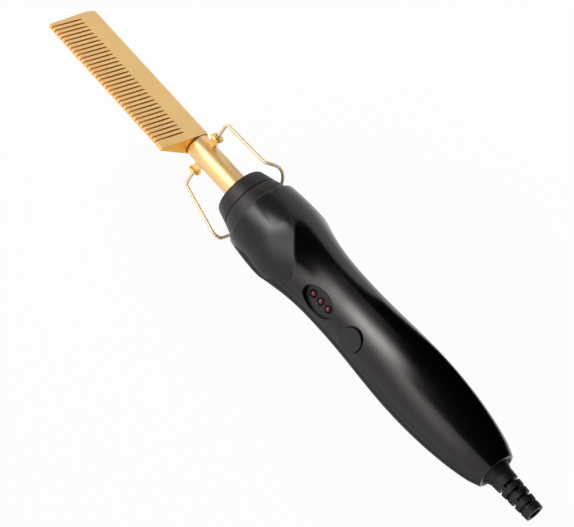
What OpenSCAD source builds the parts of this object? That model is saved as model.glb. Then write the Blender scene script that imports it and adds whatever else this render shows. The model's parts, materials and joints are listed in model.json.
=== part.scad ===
// Electric hot comb: heated brass comb head on a metal barrel, wire bench stand,
// two-part moulded handle with indicator window, push button and swivelling cord boot.
//
// Working frame: the handle's axis lies along X, x = 0 at the cord end, teeth towards +Z.
// place() then moves everything so that the model stands on z = 0, centred on x and y.

/* [Handle] */
// Distance from the cord end of the handle to its front rim
handle_len = 150.5; // [147:0.1:155]
// Radius of the handle at its cord end
tail_r = 9.1; // [8.8:0.1:9.6]
// Largest radius of the grip
belly_r = 16.2; // [15.6:0.1:17]
// Distance from the cord end to the thickest part of the grip
belly_x = 50; // [44:0.5:54]
// Smallest radius of the grip, under the thumb
neck_r = 14.45; // [14.2:0.05:15]
// Distance from the front rim back to the neck
neck_back = 49.5; // [47:0.5:53]
// Largest radius of the handle's nose
nose_r = 18.35; // [17.8:0.05:19]
// Distance from the front rim back to the thickest part of the nose
nose_back = 14.5; // [12:0.5:17]
// Radius of the handle at its front rim, before the edge is rounded
rim_r = 17.5; // [17.2:0.05:17.7]
// Wall of the two handle shells
shell_wall = 2.2; // [1.9:0.05:2.4]
// Thickness of the wall that closes the cord end
tail_wall = 2.5; // [2:0.1:2.8]

/* [Nose cap] */
// Wall of the nose cap
cap_wall = 1.6; // [1.3:0.05:1.8]
// Distance from the front rim back to the tip of the cap's tongue
tongue_len = 34.5; // [33:0.5:36]
// Distance from the front rim back to the cap's edge at the handle's sides
tongue_side_len = 13.5; // [12:0.5:15.5]
// Rounding of the cap's front edge
cap_edge_r = 1.3; // [1:0.05:1.5]
// Width of the shadow gap along the cap's edge
crease_gap = 0.15; // [0.1:0.05:0.3]

/* [Collars] */
// Length of the rear collar in front of the handle
rear_collar_len = 7; // [6.2:0.1:8]
// Radius of the rear collar where it meets the cap
rear_collar_r = 16.3; // [15.8:0.05:16.6]
// Length of the front collar
front_collar_len = 7.6; // [7:0.1:9]
// Radius at the joint between the two collars
collar_joint_r = 14.2; // [13.8:0.05:14.6]
// Radius of the front collar at its front edge
collar_front_r = 12.1; // [11.6:0.05:12.6]
// Rounding of the front collar's edge
collar_edge_r = 1.2; // [0.8:0.1:1.6]
// Width of the groove between the collars
collar_groove = 0.25; // [0.15:0.05:0.4]

/* [Barrel] */
// Outer radius of the barrel tube
barrel_r = 5.6; // [5.5:0.02:5.64]
// Wall of the barrel tube
barrel_wall = 0.8; // [0.6:0.05:0.9]
// Length of bare barrel between the front collar and the comb head
barrel_bare = 29.7; // [27:0.1:33]

/* [Comb head] */
// Length of the comb head along the barrel
comb_len = 80.4; // [79:0.1:88]
// Height of the tooth tips above the barrel's axis at the barrel end
tip_near = 28.1; // [26:0.1:31]
// Height of the tooth tips above the barrel's axis at the free end
tip_far = 26.4; // [24:0.1:28.1]
// Half the thickness of the tooth tips
tip_half = 0.2; // [0.15:0.05:0.6]
// Half the width of the spine, where the flat faces end
spine_half = 6.2; // [6.15:0.01:6.6]
// Depth of the spine's edges below the barrel's axis
spine_drop = 2.2; // [2:0.05:2.6]
// Depth of the rounded back below the barrel's axis
back_drop = 5.8; // [5.75:0.05:6.4]
// Rounding of the free end's back corner
spine_end_r = 6; // [4:0.25:8]
// Rounding of the free end's two side corners
side_corner_r = 1.8; // [1.2:0.1:3]
// How far the free end leans in from the back to the tooth tips
end_slant = 1.6; // [0.8:0.1:2.5]
// Number of gaps between the teeth
slot_count = 33; // [28:1:36]
// Distance from one gap to the next
slot_pitch = 2.266; // [2.1:0.002:2.3]
// Width of a gap
slot_w = 0.75; // [0.6:0.05:0.9]
// Distance from the free end to the middle of the first gap
slot_first = 1.9; // [1.6:0.05:2.4]
// Height of the gaps' roots above the barrel's axis at the barrel end
root_near = 8.4; // [7.6:0.1:10]
// Height of the gaps' roots above the barrel's axis at the free end
root_far = 7.8; // [7.2:0.1:9]

/* [Heater] */
// Width of the heater pocket in the comb head
pocket_w = 6.4; // [6.2:0.05:6.6]
// Height of the heater pocket
pocket_h = 3.4; // [3.3:0.05:3.6]
// Height of the pocket's middle above the barrel's axis
pocket_rise = 0.1; // [0:0.05:0.3]
// Solid metal left between the pocket and the free end
pocket_end_wall = 12.6; // [9:0.1:17]
// Length of the heater cartridge
heater_len = 55; // [45:0.5:57]
// Number of ceramic heating elements in the cartridge
element_count = 3; // [2:1:4]

/* [Wire stand] */
// Distance from the comb head to the stand's hinge
hinge_back = 6.3; // [5.5:0.1:8]
// Radius of the stand's wire
wire_r = 0.75; // [0.6:0.05:0.85]
// Radial clearance of the wire in its lugs
hinge_fit = 0.05; // [0.03:0.01:0.09]
// Distance from the barrel's axis to the middle of each lug's bead
lug_reach = 9.5; // [9:0.1:11]
// Width of the lugs' square posts
lug_post_w = 2.9; // [2.7:0.05:3.2]
// Radius of the bead's ring, to the middle of its section
bead_ring_r = 1.9; // [1.8:0.05:2.1]
// Radius of the bead's section
bead_r = 1; // [0.9:0.05:1.04]
// Distance from the axis to the first bend of the wire
bend_reach = 17.5; // [16:0.1:19]
// Length of the legs along the barrel
leg_len = 26.9; // [25:0.1:28]
// Distance from the axis to the far end of each leg
leg_reach = 21.1; // [20.5:0.1:24]
// Height of the legs' far ends above the barrel's axis
leg_rise = 4.85; // [3.5:0.05:5.5]
// Radius of the loop round the collars
loop_r = 22.1; // [21.5:0.1:23]
// Distance along the barrel from the legs' ends to the loop
loop_step = 2.1; // [1.5:0.1:3]
// Angle by which the loop leans back towards the handle
loop_lean = 5.4; // [0:0.1:7]
// Gap between the folded loop and the underside of the collars
loop_gap = 0.95; // [0.7:0.05:1.5]
// Length over which each bend of the wire is rounded
wire_bend = 2; // [1.5:0.1:3]

/* [Controls] */
// Distance from the front rim back to the middle of the indicator window
window_back = 50; // [49:0.1:51]
// Length of the indicator window
window_len = 17.5; // [16.5:0.1:18.5]
// Width of the indicator window
window_w = 10.5; // [9.5:0.1:11]
// Depth of the window panel below the handle's surface
window_depth = 2.3; // [2:0.05:2.6]
// Distance between the indicator lamps
led_pitch = 4.76; // [4.5:0.02:5]
// Radius of an indicator lamp
led_r = 1.5; // [1.4:0.05:1.55]
// Height of the lamps' tops above the window panel
led_proud = 1; // [0.6:0.05:1.2]
// Distance from the middle of the window back to the middle of the button
button_back = 22; // [21:0.1:23]
// Radius of the button
button_r = 5.35; // [5.2:0.05:5.45]
// Radial clearance of the button in its sleeve
button_fit = 0.08; // [0.05:0.01:0.1]
// Travel of the button
button_travel = 0.6; // [0.4:0.05:0.7]
// How far the button's rim stands above the handle
button_proud = 0.75; // [0.7:0.05:0.9]
// Height of the board's top face above the handle's axis
board_z = 7; // [6.6:0.05:7.2]
// Thickness of the circuit board
board_t = 1.6; // [1.2:0.1:1.8]
// Width of the circuit board
board_w = 18; // [17:0.25:19]
// Length of the circuit board behind the middle of the button
board_tail = 20.5; // [19:0.5:22]
// Length of the circuit board ahead of the middle of the window
board_nose = 14.5; // [13.5:0.5:15]

/* [Cord boot] */
// Length of the boot behind the handle
boot_len = 23.5; // [22.5:0.25:26]
// Radius of the boot's bearing in the handle
journal_r = 6.92; // [6.8:0.02:7]
// Radial clearance of the boot's bearing
journal_fit = 0.08; // [0.05:0.01:0.1]
// Radius of the boot where its smooth cone ends
boot_step_r = 5.3; // [5.2:0.05:5.6]
// Radius of the boot at its free end
boot_end_r = 4.2; // [4.15:0.05:4.6]
// Radius of the cord's hole through the boot
cord_hole_r = 2.7; // [2.5:0.05:2.8]
// Length of the smooth cone of the boot
boot_cone_len = 3.6; // [3.2:0.1:4.2]
// Height of the ledge where the cone ends
boot_ledge = 0.22; // [0.1:0.02:0.3]
// Number of flex slot levels in the boot
flex_count = 4; // [3:1:4]
// Distance between flex slot levels
flex_pitch = 3.85; // [3.7:0.05:4]
// Distance from the ledge to the middle of the first flex slot
flex_start = 4.5; // [4:0.1:5]
// Width of a flex slot
flex_w = 1.5; // [1.2:0.05:1.7]

/* [Fasteners] */
// Radius of the shell screws' thread
shell_screw_r = 1.1; // [1:0.05:1.2]
// Radius of the shell screws' heads
shell_head_r = 2.3; // [2.1:0.05:2.4]
// Radius of the board and flange screws' thread
small_screw_r = 0.9; // [0.8:0.05:1]

/* [Hidden] */
$fn = 64;
eps = 0.01;
big = 200;

// Stations along the handle's axis
collar_joint_x = handle_len + rear_collar_len;
collar_front_x = collar_joint_x + front_collar_len;
comb_x = collar_front_x + barrel_bare;
comb_end_x = comb_x + comb_len;
neck_x = handle_len - neck_back;
nose_x = handle_len - nose_back;
tongue_tip_x = handle_len - tongue_len;
tongue_side_x = handle_len - tongue_side_len;
window_x = handle_len - window_back;
button_x = window_x - button_back;
hinge_x = comb_x - hinge_back;
leg_end_x = hinge_x - leg_len;
loop_x = leg_end_x - loop_step;
loop_z = loop_r - wire_r - loop_gap - collar_joint_r;
bottom_z = -max(nose_r, loop_r + wire_r - loop_z);

// Radii that follow from others
barrel_bore_r = barrel_r - barrel_wall;
barrel_hole_r = barrel_r + 0.08;
tail_hole_r = journal_r + journal_fit;

// Profile of the handle: full at the tail, a waist at the neck, a swelling nose
tail_fullness = 0.78;
nose_lateness = 1.22;
rim_lateness = 2.2;
function ease(t) = t * t * (3 - 2 * t);
function skin(x) =
    x < belly_x ? tail_r + (belly_r - tail_r) * pow(1 - pow(1 - max(x, 0) / belly_x, 2), tail_fullness)
    : x < neck_x ? belly_r + (neck_r - belly_r) * ease((x - belly_x) / (neck_x - belly_x))
    : x < nose_x ? neck_r + (nose_r - neck_r)
        * ease(pow((x - neck_x) / (nose_x - neck_x), nose_lateness))
    : nose_r + (rim_r - nose_r)
        * pow((min(x, handle_len) - nose_x) / (handle_len - nose_x), rim_lateness);

// Stations at which the profile is drawn, closer together where it turns fastest
STATIONS = concat(
    [for (i = [0 : 11]) belly_x * pow(i / 12, 1.7)],
    [for (i = [0 : 6]) belly_x + (neck_x - belly_x) * i / 7],
    [for (i = [0 : 9]) neck_x + (nose_x - neck_x) * i / 10],
    [for (i = [0 : 3]) nose_x + (handle_len - nose_x) * i / 4]);
function between(x0, x1, margin = 0.4) =
    concat([x0], [for (x = STATIONS) if (x > x0 + margin && x < x1 - margin) x], [x1]);

// The cavity narrows by the cap's wall where the cap lies over the shells
cavity_step_x = tongue_tip_x - 3;
spigot_len = 8.3;
spigot_r = 13.2;
spigot_x = handle_len - spigot_len;
shell_front_x = handle_len - 1.25;
function cavity(x) = skin(x) - shell_wall - (x > cavity_step_x ? cap_wall : 0);

// Plan outline of the nose cap's tongue
tongue_power = 1.5;
function crease(y) = tongue_tip_x
    + (tongue_side_x - tongue_tip_x) * pow(abs(y) / nose_r, tongue_power);

// Comb head
tip_end_x = comb_end_x - end_slant;
function along_tips(x) = (x - comb_x) / (tip_end_x - comb_x);
function tip_z(x) = tip_near + (tip_far - tip_near) * along_tips(x);
function root_z(x) = root_near + (root_far - root_near) * along_tips(x);
back_sag = back_drop - spine_drop;
back_arc_r = (spine_half * spine_half + back_sag * back_sag) / (2 * back_sag);
back_arc_z = -back_drop + back_arc_r;
back_half_angle = asin(spine_half / back_arc_r);
plug_len = 5.3;
pocket_end_x = comb_end_x - pocket_end_wall;

// Heater cartridge, seated against the pocket's end
cartridge_wall = 0.4;
film_t = 0.15;
stack_fit = 0.05;
heater_x1 = pocket_end_x - 0.5;
heater_x0 = heater_x1 - heater_len;
cartridge_w = pocket_w - 0.2;
cartridge_h = pocket_h - 0.2;
film_w = cartridge_w - 2 * cartridge_wall - 2 * stack_fit;
film_h = cartridge_h - 2 * cartridge_wall - 2 * stack_fit;
stack_w = film_w - 2 * film_t - 2 * stack_fit;
stack_h = film_h - 2 * film_t - 2 * stack_fit;
electrode_t = 0.3;
electrode_tail = 3;
element_gap = 1;
lead_r = 0.6;
lead_y = 1.8;

// Barrel seat inside the handle
pocket_r = 10.4;
washer_t = 0.8;
flange_t = 1.6;
flange_r = 10.2;
flange_screw_y = 7.8;
seat_x = handle_len - 1.5;
flange_x = seat_x - washer_t - flange_t;
barrel_tail_x = flange_x - 2.4;
plug_r = 9;
plug_reach = 4.5;

// Controls
hole_r = button_r + button_fit;
panel_t = 1;
panel_z = skin(window_x) - window_depth;
led_top_z = panel_z + led_proud;
LED_PLACES = [for (i = [-1 : 1]) window_x + i * led_pitch];
board_x0 = button_x - board_tail;
board_x1 = window_x + board_nose;
board_y = board_w / 2;
board_low = board_z - board_t;
BOARD_SCREWS = [board_x0 + 3.2, board_x1 - 3];
switch_w = 6;
switch_h = 3.5;
plunger_r = 1.7;
switch_top = board_z + switch_h;
plunger_top = switch_top + 0.9;
button_top = skin(button_x) + button_proud;
sleeve_low = switch_top + 0.5;
sleeve_wall = 1.2;
button_flange_r = 6.15;
button_flange_t = 1;

// Shell screws come up from the back shell into posts of the front shell
SHELL_SCREWS = [26, board_x0 - 8, tongue_tip_x + 11];
post_r = 3.1;
shell_head_z = -7;
shell_head_t = 1.8;
shell_screw_top = 7;

// Swivel inside the cord end
boot_flange_r = 7.8;
boot_flange_x = tail_wall + 0.1;
boot_flange_t = 1.8;
core_r = 4.4;
core_bore_r = 1.6;
cord_stop_x = -1;
core_len = 15;
core_x1 = boot_flange_x + boot_flange_t + core_len;
ring_r = 5;
ring_w = 2;
RINGS = [core_x1 - 9, core_x1 - 4];
contact_gap = 0.1;
contact_t = 0.4;
block_z0 = ring_r + 1.6;
block_z1 = block_z0 + 2;
block_half = 4.2;
block_x0 = RINGS[0] - 1;
block_x1 = RINGS[1] + ring_w + 1;

// ---- Shared shapes -------------------------------------------------------

module place() {
    translate([-(comb_end_x - boot_len) / 2, 0, -bottom_z])
        children();
}

// A solid of revolution about the handle's axis from [x, radius] points
module lathe(points) {
    rotate([0, 90, 0])
        rotate_extrude()
            polygon([for (p = points) [p[1], p[0]]]);
}

// A tube along the handle's axis
module tube_x(x0, x1, outer, inner) {
    lathe([[x0, inner], [x1, inner], [x1, outer], [x0, outer]]);
}

module rod_x(x0, x1, r) {
    translate([x0, 0, 0])
        rotate([0, 90, 0])
            cylinder(r = r, h = x1 - x0);
}

// A block between two corners
module block(low, high) {
    translate(low)
        cube(high - low);
}

// The handle's outer form, shrunk by inset, between two stations
module body(x0, x1, inset = 0) {
    lathe(concat([[x0, 0]], [for (x = between(x0, x1)) [x, skin(x) - inset]], [[x1, 0]]));
}

module cavity_form(x0, x1) {
    lathe(concat([[x0, 0]], [for (x = between(x0, x1)) [x, cavity(x)]], [[x1, 0]]));
}

// Everything in front of the cap's edge, seen from above and from below
module tongue(grow = 0) {
    span = nose_r + 1.5;
    count = 22;
    ys = [for (i = [0 : count]) -span + 2 * span * i / count];
    translate([0, 0, -big / 2])
        linear_extrude(big)
            polygon(concat(
                [for (y = ys) [crease(y) - grow, y]],
                [[handle_len + 20, span], [handle_len + 20, -span]]));
}

function ellipse(len, wid, n = 36) =
    [for (i = [0 : n - 1]) [len / 2 * cos(360 * i / n), wid / 2 * sin(360 * i / n)]];

// Round wire along a path, as rings of points joined by faces
function unit(v) = v / norm(v);
function heading(path, i) =
    unit(path[min(i + 1, len(path) - 1)] - path[max(i - 1, 0)]);
function squared(n, t) = unit(n - (n * t) * t);
function sides_of(path, first, i = 0, last = undef) =
    i == len(path) ? []
    : let (n = squared(i == 0 ? first : last, heading(path, i)))
        concat([n], sides_of(path, first, i + 1, n));
module wire(path, r, sides = 10, first = [0.1, 0.2, 1]) {
    normals = sides_of(path, first);
    rings = len(path);
    points = [for (i = [0 : rings - 1])
        let (n = normals[i], b = cross(heading(path, i), n))
            for (k = [0 : sides - 1])
                path[i] + r * (cos(360 * k / sides) * n + sin(360 * k / sides) * b)];
    walls = [for (i = [0 : rings - 2]) for (k = [0 : sides - 1])
        [i * sides + k, i * sides + (k + 1) % sides,
            (i + 1) * sides + (k + 1) % sides, (i + 1) * sides + k]];
    caps = [[for (k = [0 : sides - 1]) sides - 1 - k],
        [for (k = [0 : sides - 1]) (rings - 1) * sides + k]];
    polyhedron(points, concat([for (f = walls) [f[3], f[2], f[1], f[0]]],
        [for (c = caps) [for (k = [0 : sides - 1]) c[sides - 1 - k]]]));
}

// Corners of a path replaced by short curves
function rounded(path, reach, steps = 4) = [
    for (i = [0 : len(path) - 1])
        if (i == 0 || i == len(path) - 1) path[i]
        else
            let (
                a = path[i - 1] - path[i],
                b = path[i + 1] - path[i],
                from = path[i] + unit(a) * min(reach, norm(a) * 0.45),
                to = path[i] + unit(b) * min(reach, norm(b) * 0.45))
                for (k = [0 : steps])
                    let (t = k / steps)
                        (1 - t) * (1 - t) * from + 2 * t * (1 - t) * path[i] + t * t * to];

// ---- Comb head and barrel ------------------------------------------------

module comb_section() {
    arc_steps = 12;
    polygon(concat(
        [[tip_half, tip_near], [-tip_half, tip_near]],
        [for (i = [0 : arc_steps])
            let (a = -90 - back_half_angle + 2 * back_half_angle * i / arc_steps)
                [back_arc_r * cos(a), back_arc_z + back_arc_r * sin(a)]]));
}

module comb_side() {
    corner_steps = 6;
    polygon(concat(
        [[comb_x, tip_near + 1], [comb_x, tip_near], [comb_x, -back_drop - 1]],
        [[comb_end_x - spine_end_r, -back_drop - 1]],
        [for (i = [0 : corner_steps])
            let (a = -90 + 90 * i / corner_steps)
                [comb_end_x - spine_end_r + spine_end_r * cos(a),
                    -back_drop + spine_end_r + spine_end_r * sin(a)]],
        [[tip_end_x, tip_far]]));
}

// The head seen from the teeth; it stands clear of the head but for the two round corners
module comb_plan() {
    corner_steps = 6;
    end = comb_end_x + 0.05;
    side = spine_half + 0.1;
    function corner(a) = [end - side_corner_r + side_corner_r * cos(a),
        side - side_corner_r + side_corner_r * sin(a)];
    half = [for (i = [0 : corner_steps]) corner(90 * i / corner_steps)];
    polygon(concat([[end + 1, side - side_corner_r]], half, [[comb_x - 1, side]],
        [[comb_x - 1, -side]], [for (i = [corner_steps : -1 : 0]) [half[i].x, -half[i].y]],
        [[end + 1, side_corner_r - side]]));
}

module comb_slots() {
    point_flare = 0.16;
    point_len = 2.4;
    half = slot_w / 2;
    for (i = [0 : slot_count - 1]) {
        x = tip_end_x - slot_first - i * slot_pitch;
        root = root_z(x);
        tip = tip_z(x);
        translate([x, 0, 0])
            rotate([90, 0, 0])
                linear_extrude(2 * spine_half + 2, center = true)
                    polygon([[-half / 2, root], [half / 2, root], [half, root + half],
                        [half, tip - point_len], [half + point_flare, tip + 1.5],
                        [-half - point_flare, tip + 1.5], [-half, tip - point_len],
                        [-half, root + half]]);
    }
}

module heater_pocket() {
    low = pocket_rise - pocket_h / 2;
    block([comb_x - plug_len - 1, -pocket_w / 2, low], [pocket_end_x, pocket_w / 2, low + pocket_h]);
}

module comb_head() {
    color("goldenrod")
        difference() {
            union() {
                intersection() {
                    translate([comb_x, 0, 0])
                        rotate([90, 0, 90])
                            linear_extrude(comb_len + 1)
                                comb_section();
                    rotate([90, 0, 0])
                        linear_extrude(4 * spine_half, center = true)
                            comb_side();
                    linear_extrude(8 * spine_half, center = true)
                        comb_plan();
                }
                rod_x(comb_x - plug_len, comb_x + 1, barrel_bore_r);
            }
            comb_slots();
            heater_pocket();
        }
}

module barrel_tube() {
    color("gold")
        tube_x(barrel_tail_x, comb_x, barrel_r, barrel_bore_r);
}

// A square post with a ring bead, bored along the hinge axis; side is +1 or -1
module stand_lug(side) {
    bore_r = pin_r + hinge_fit;
    color("gold")
        difference() {
            translate([hinge_x, 0, 0])
                rotate([-90 * side, 0, 0])
                    union() {
                        translate([-lug_post_w / 2, -lug_post_w / 2, barrel_r - 0.6])
                            cube([lug_post_w, lug_post_w, lug_reach - barrel_r + 0.6]);
                        translate([0, 0, lug_reach])
                            rotate_extrude()
                                translate([bead_ring_r, 0])
                                    circle(r = bead_r);
                    }
            translate([hinge_x, 0, 0])
                rotate([-90 * side, 0, 0])
                    translate([0, 0, barrel_r + 0.5])
                        cylinder(r = bore_r, h = lug_reach);
            rod_x(hinge_x - 5, hinge_x + 5, barrel_r);
        }
}

module stand_lug_right() {
    stand_lug(-1);
}

module stand_lug_left() {
    stand_lug(1);
}

// The wire is drawn with flat sides; its pins are round and fit inside those flats
wire_sides = 12;
pin_r = wire_r * cos(180 / wire_sides) - 0.01;
pin_reach = bend_reach - 4;

// Path of one leg, from the pin to the start of the loop
function leg_path(side) = [
    [hinge_x, side * pin_reach, 0],
    [hinge_x, side * bend_reach, 0],
    [leg_end_x, side * leg_reach, leg_rise]];
loop_lift = 9.5;
loop_steps = 24;
function loop_point(i) =
    let (a = loop_lift + (180 - 2 * loop_lift) * i / loop_steps, drop = loop_r * sin(a))
        [loop_x - drop * tan(loop_lean), loop_r * cos(a), loop_z - drop];

module wire_stand() {
    path = concat(
        rounded(concat(leg_path(1), [loop_point(0), loop_point(1)]), wire_bend),
        [for (i = [2 : loop_steps - 2]) loop_point(i)],
        rounded(concat([loop_point(loop_steps - 1), loop_point(loop_steps)],
            [for (i = [2 : -1 : 0]) leg_path(-1)[i]]), wire_bend));
    color("gold")
        union() {
            wire(path, wire_r, wire_sides, [1, 0, 0]);
            for (side = [-1, 1])
                translate([hinge_x, 0, 0])
                    rotate([-90 * side, 0, 0])
                        translate([0, 0, barrel_r + 1])
                            cylinder(r = pin_r, h = pin_reach - barrel_r - 0.5);
        }
}

// ---- Heater --------------------------------------------------------------

module flat_sleeve(x0, x1, w, h, wall) {
    z = pocket_rise;
    difference() {
        block([x0, -w / 2, z - h / 2], [x1, w / 2, z + h / 2]);
        block([x0 - 1, -w / 2 + wall, z - h / 2 + wall], [x1 + 1, w / 2 - wall, z + h / 2 - wall]);
    }
}

module heater_cartridge() {
    color("silver")
        flat_sleeve(heater_x0, heater_x1, cartridge_w, cartridge_h, cartridge_wall);
}

module insulating_film() {
    color("darkorange")
        flat_sleeve(heater_x0 - 1, heater_x1 - 0.3, film_w, film_h, film_t);
}

module heater_electrodes() {
    z = pocket_rise;
    color("lightgray")
        for (side = [-1, 1]) {
            face = z + side * (stack_h / 2 - electrode_t / 2);
            block([heater_x0, -stack_w / 2, face - electrode_t / 2],
                [heater_x1 - 1, stack_w / 2, face + electrode_t / 2]);
            block([heater_x0 - electrode_tail, side * lead_y - 0.6, face - electrode_t / 2],
                [heater_x0, side * lead_y + 0.6, face + electrode_t / 2]);
        }
}

module ceramic_elements() {
    room = heater_len - 2;
    each_len = (room - (element_count - 1) * element_gap) / element_count;
    half_h = stack_h / 2 - electrode_t;
    color("dimgray")
        for (i = [0 : element_count - 1]) {
            x = heater_x0 + 0.5 + i * (each_len + element_gap);
            block([x, -stack_w / 2 + 0.1, pocket_rise - half_h],
                [x + each_len, stack_w / 2 - 0.1, pocket_rise + half_h]);
        }
}

sensor_x = heater_x0 - electrode_tail - 3.5;
sensor_bead_r = 1.1;
module temperature_sensor() {
    color("saddlebrown")
        translate([sensor_x, 0, pocket_rise - pocket_h / 2 + sensor_bead_r + 0.1])
            sphere(r = sensor_bead_r);
}

// The heater's two leads; one runs through the thermal fuse
fuse_y = -6.6;
fuse_z = -1;
fuse_r = 1.9;
fuse_len = 10;
fuse_x = tongue_tip_x + 3;
LEAD_TAIL_X = barrel_tail_x - 3;
lead_end_x = board_x1 - 6.5;
module heater_leads() {
    z = pocket_rise + stack_h / 2 - electrode_t - lead_r;
    start = heater_x0 - electrode_tail + 1;
    color("white")
        union() {
            wire(rounded([[start, lead_y, z], [LEAD_TAIL_X, lead_y, z], [fuse_x + 13, 6.2, 1],
                [lead_end_x + 3, 6.2, 2], [lead_end_x, 6, board_low - 0.05]], 3, 2), lead_r, 8);
            wire(rounded([[start, -lead_y, z - 0.3], [LEAD_TAIL_X, -lead_y, z - 0.3],
                [fuse_x + fuse_len + 4, fuse_y, fuse_z],
                [fuse_x + fuse_len, fuse_y, fuse_z]], 2, 2), lead_r, 8);
            wire(rounded([[fuse_x, fuse_y, fuse_z], [fuse_x - 3, fuse_y, fuse_z + 1],
                [lead_end_x, -6, board_low - 0.05]], 1.5, 2), lead_r, 8);
        }
}

module sensor_leads() {
    r = 0.4;
    z = pocket_rise - pocket_h / 2 + sensor_bead_r + 0.1;
    out = 4.4;
    color("crimson")
        for (side = [-1, 1])
            wire(rounded([[sensor_x - 0.85, side * 0.55, z], [LEAD_TAIL_X, side * 0.7, z - 0.8],
                [fuse_x + 14, side * out, -3.8], [fuse_x, side * out, -3.8],
                [lead_end_x + 4, side * 2.6, board_low - 0.05]], 3, 2), r, 8, [0, 1, 0.2]);
}

module lead_sleeve() {
    color("ivory")
        tube_x(barrel_tail_x - 2, hinge_x - 6, barrel_bore_r - 0.1, barrel_bore_r - 0.7);
}

module thermal_fuse() {
    color("beige")
        translate([0, fuse_y, fuse_z])
            rod_x(fuse_x + 0.05, fuse_x + fuse_len - 0.05, fuse_r);
}

// ---- Barrel seat and collars ---------------------------------------------

module flange_screw_holes(r, x0, x1) {
    for (side = [-1, 1])
        translate([0, side * flange_screw_y, 0])
            rod_x(x0, x1, r);
}

module barrel_flange() {
    color("silver")
        difference() {
            tube_x(flange_x, flange_x + flange_t, flange_r, barrel_r);
            flange_screw_holes(small_screw_r + 0.1, flange_x - 1, flange_x + flange_t + 1);
        }
}

module heat_washer() {
    color("khaki")
        difference() {
            tube_x(seat_x - washer_t, seat_x, flange_r, barrel_hole_r);
            flange_screw_holes(small_screw_r + 0.1, seat_x - washer_t - 1, seat_x + 1);
        }
}

flange_head_t = 1.2;
module flange_screws() {
    color("silver")
        for (side = [-1, 1])
            translate([0, side * flange_screw_y, 0]) {
                rod_x(flange_x - flange_head_t, flange_x, 1.7);
                rod_x(flange_x, seat_x + 4.5, small_screw_r);
            }
}

module front_collar() {
    edge = collar_edge_r;
    back_x = collar_joint_x + collar_groove / 2;
    color("#3a3634")
        difference() {
            lathe(concat(
                [[back_x, barrel_hole_r], [back_x, collar_joint_r - 0.3],
                    [back_x + 0.3, collar_joint_r]],
                [for (i = [0 : 5])
                    let (a = 90 * i / 5)
                        [collar_front_x - edge + edge * sin(a), collar_front_r - edge + edge * cos(a)]],
                [[collar_front_x, barrel_hole_r]]));
            rod_x(back_x - 1, collar_joint_x + plug_reach + 0.1, plug_r + 0.03);
        }
}

module rear_collar() {
    groove_r = collar_joint_r + 0.1;
    joint_x = collar_joint_x - collar_groove / 2;
    holder_r = 14;
    color("#3a3634")
        difference() {
            lathe([[spigot_x, pocket_r], [spigot_x, holder_r], [spigot_x + 2, holder_r],
                [spigot_x + 2, spigot_r], [handle_len, spigot_r],
                [handle_len, rear_collar_r - 0.25], [handle_len + 0.3, rear_collar_r],
                [joint_x - 0.3, groove_r], [joint_x, groove_r - 0.3],
                [joint_x, plug_r], [collar_joint_x + plug_reach, plug_r],
                [collar_joint_x + plug_reach, barrel_hole_r], [seat_x, barrel_hole_r],
                [seat_x, pocket_r]]);
            flange_screw_holes(small_screw_r, seat_x - 1, seat_x + 4.5);
        }
}

// ---- Handle --------------------------------------------------------------

module nose_cap() {
    lip_r = spigot_r + 0.1;
    lip_x = shell_front_x + 0.05;
    edge = cap_edge_r;
    back = tongue_tip_x - 1;
    outer = [for (x = between(back, handle_len - edge)) [x, skin(x)]];
    inner = [for (x = between(back, lip_x)) [x, skin(x) - cap_wall]];
    rim = [for (i = [1 : 5])
        let (a = 90 * i / 5)
            [handle_len - edge + edge * sin(a), skin(handle_len - edge) - edge + edge * cos(a)]];
    color("#333333")
        intersection() {
            lathe(concat(outer, rim,
                [[handle_len, lip_r], [lip_x, lip_r]],
                [for (i = [len(inner) - 1 : -1 : 0]) inner[i]]));
            tongue();
        }
}

// Ribs that hold the boot's flange and the rear collar's spigot
module shell_ribs() {
    rib_x = boot_flange_x + boot_flange_t + 0.1;
    tube_x(rib_x, rib_x + 1.5, skin(rib_x) - 1, core_r + 1);
    tube_x(spigot_x + 2.1, spigot_x + 4.1, cavity(spigot_x) + 0.8, spigot_r + 0.1);
    tube_x(spigot_x - 2.1, spigot_x - 0.1, cavity(spigot_x) + 0.8, spigot_r - 1.2);
}

// Both shells share this form; the seam is the plane of the two long axes
module shell_form() {
    difference() {
        union() {
            difference() {
                body(0, handle_len);
                tongue(crease_gap);
            }
            body(tongue_tip_x - 2, shell_front_x, cap_wall + 0.03);
        }
        cavity_form(tail_wall, handle_len + 1);
        rod_x(-1, tail_wall + 1, tail_hole_r);
        lathe([[-1, 0], [-1, tail_hole_r + 1.4], [0.8, tail_hole_r + 0.5], [0.8, 0]]);
    }
    shell_ribs();
}

module half_space(side) {
    seam_gap = 0.04;
    translate([-big / 4, -big / 2, side > 0 ? seam_gap : -big / 2 - seam_gap])
        cube([big * 1.25, big, big / 2]);
}

module window_sleeve() {
    translate([window_x, 0, panel_z - panel_t - 0.4])
        linear_extrude(10)
            polygon(ellipse(window_len + 2.4, window_w + 2.4));
}

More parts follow.
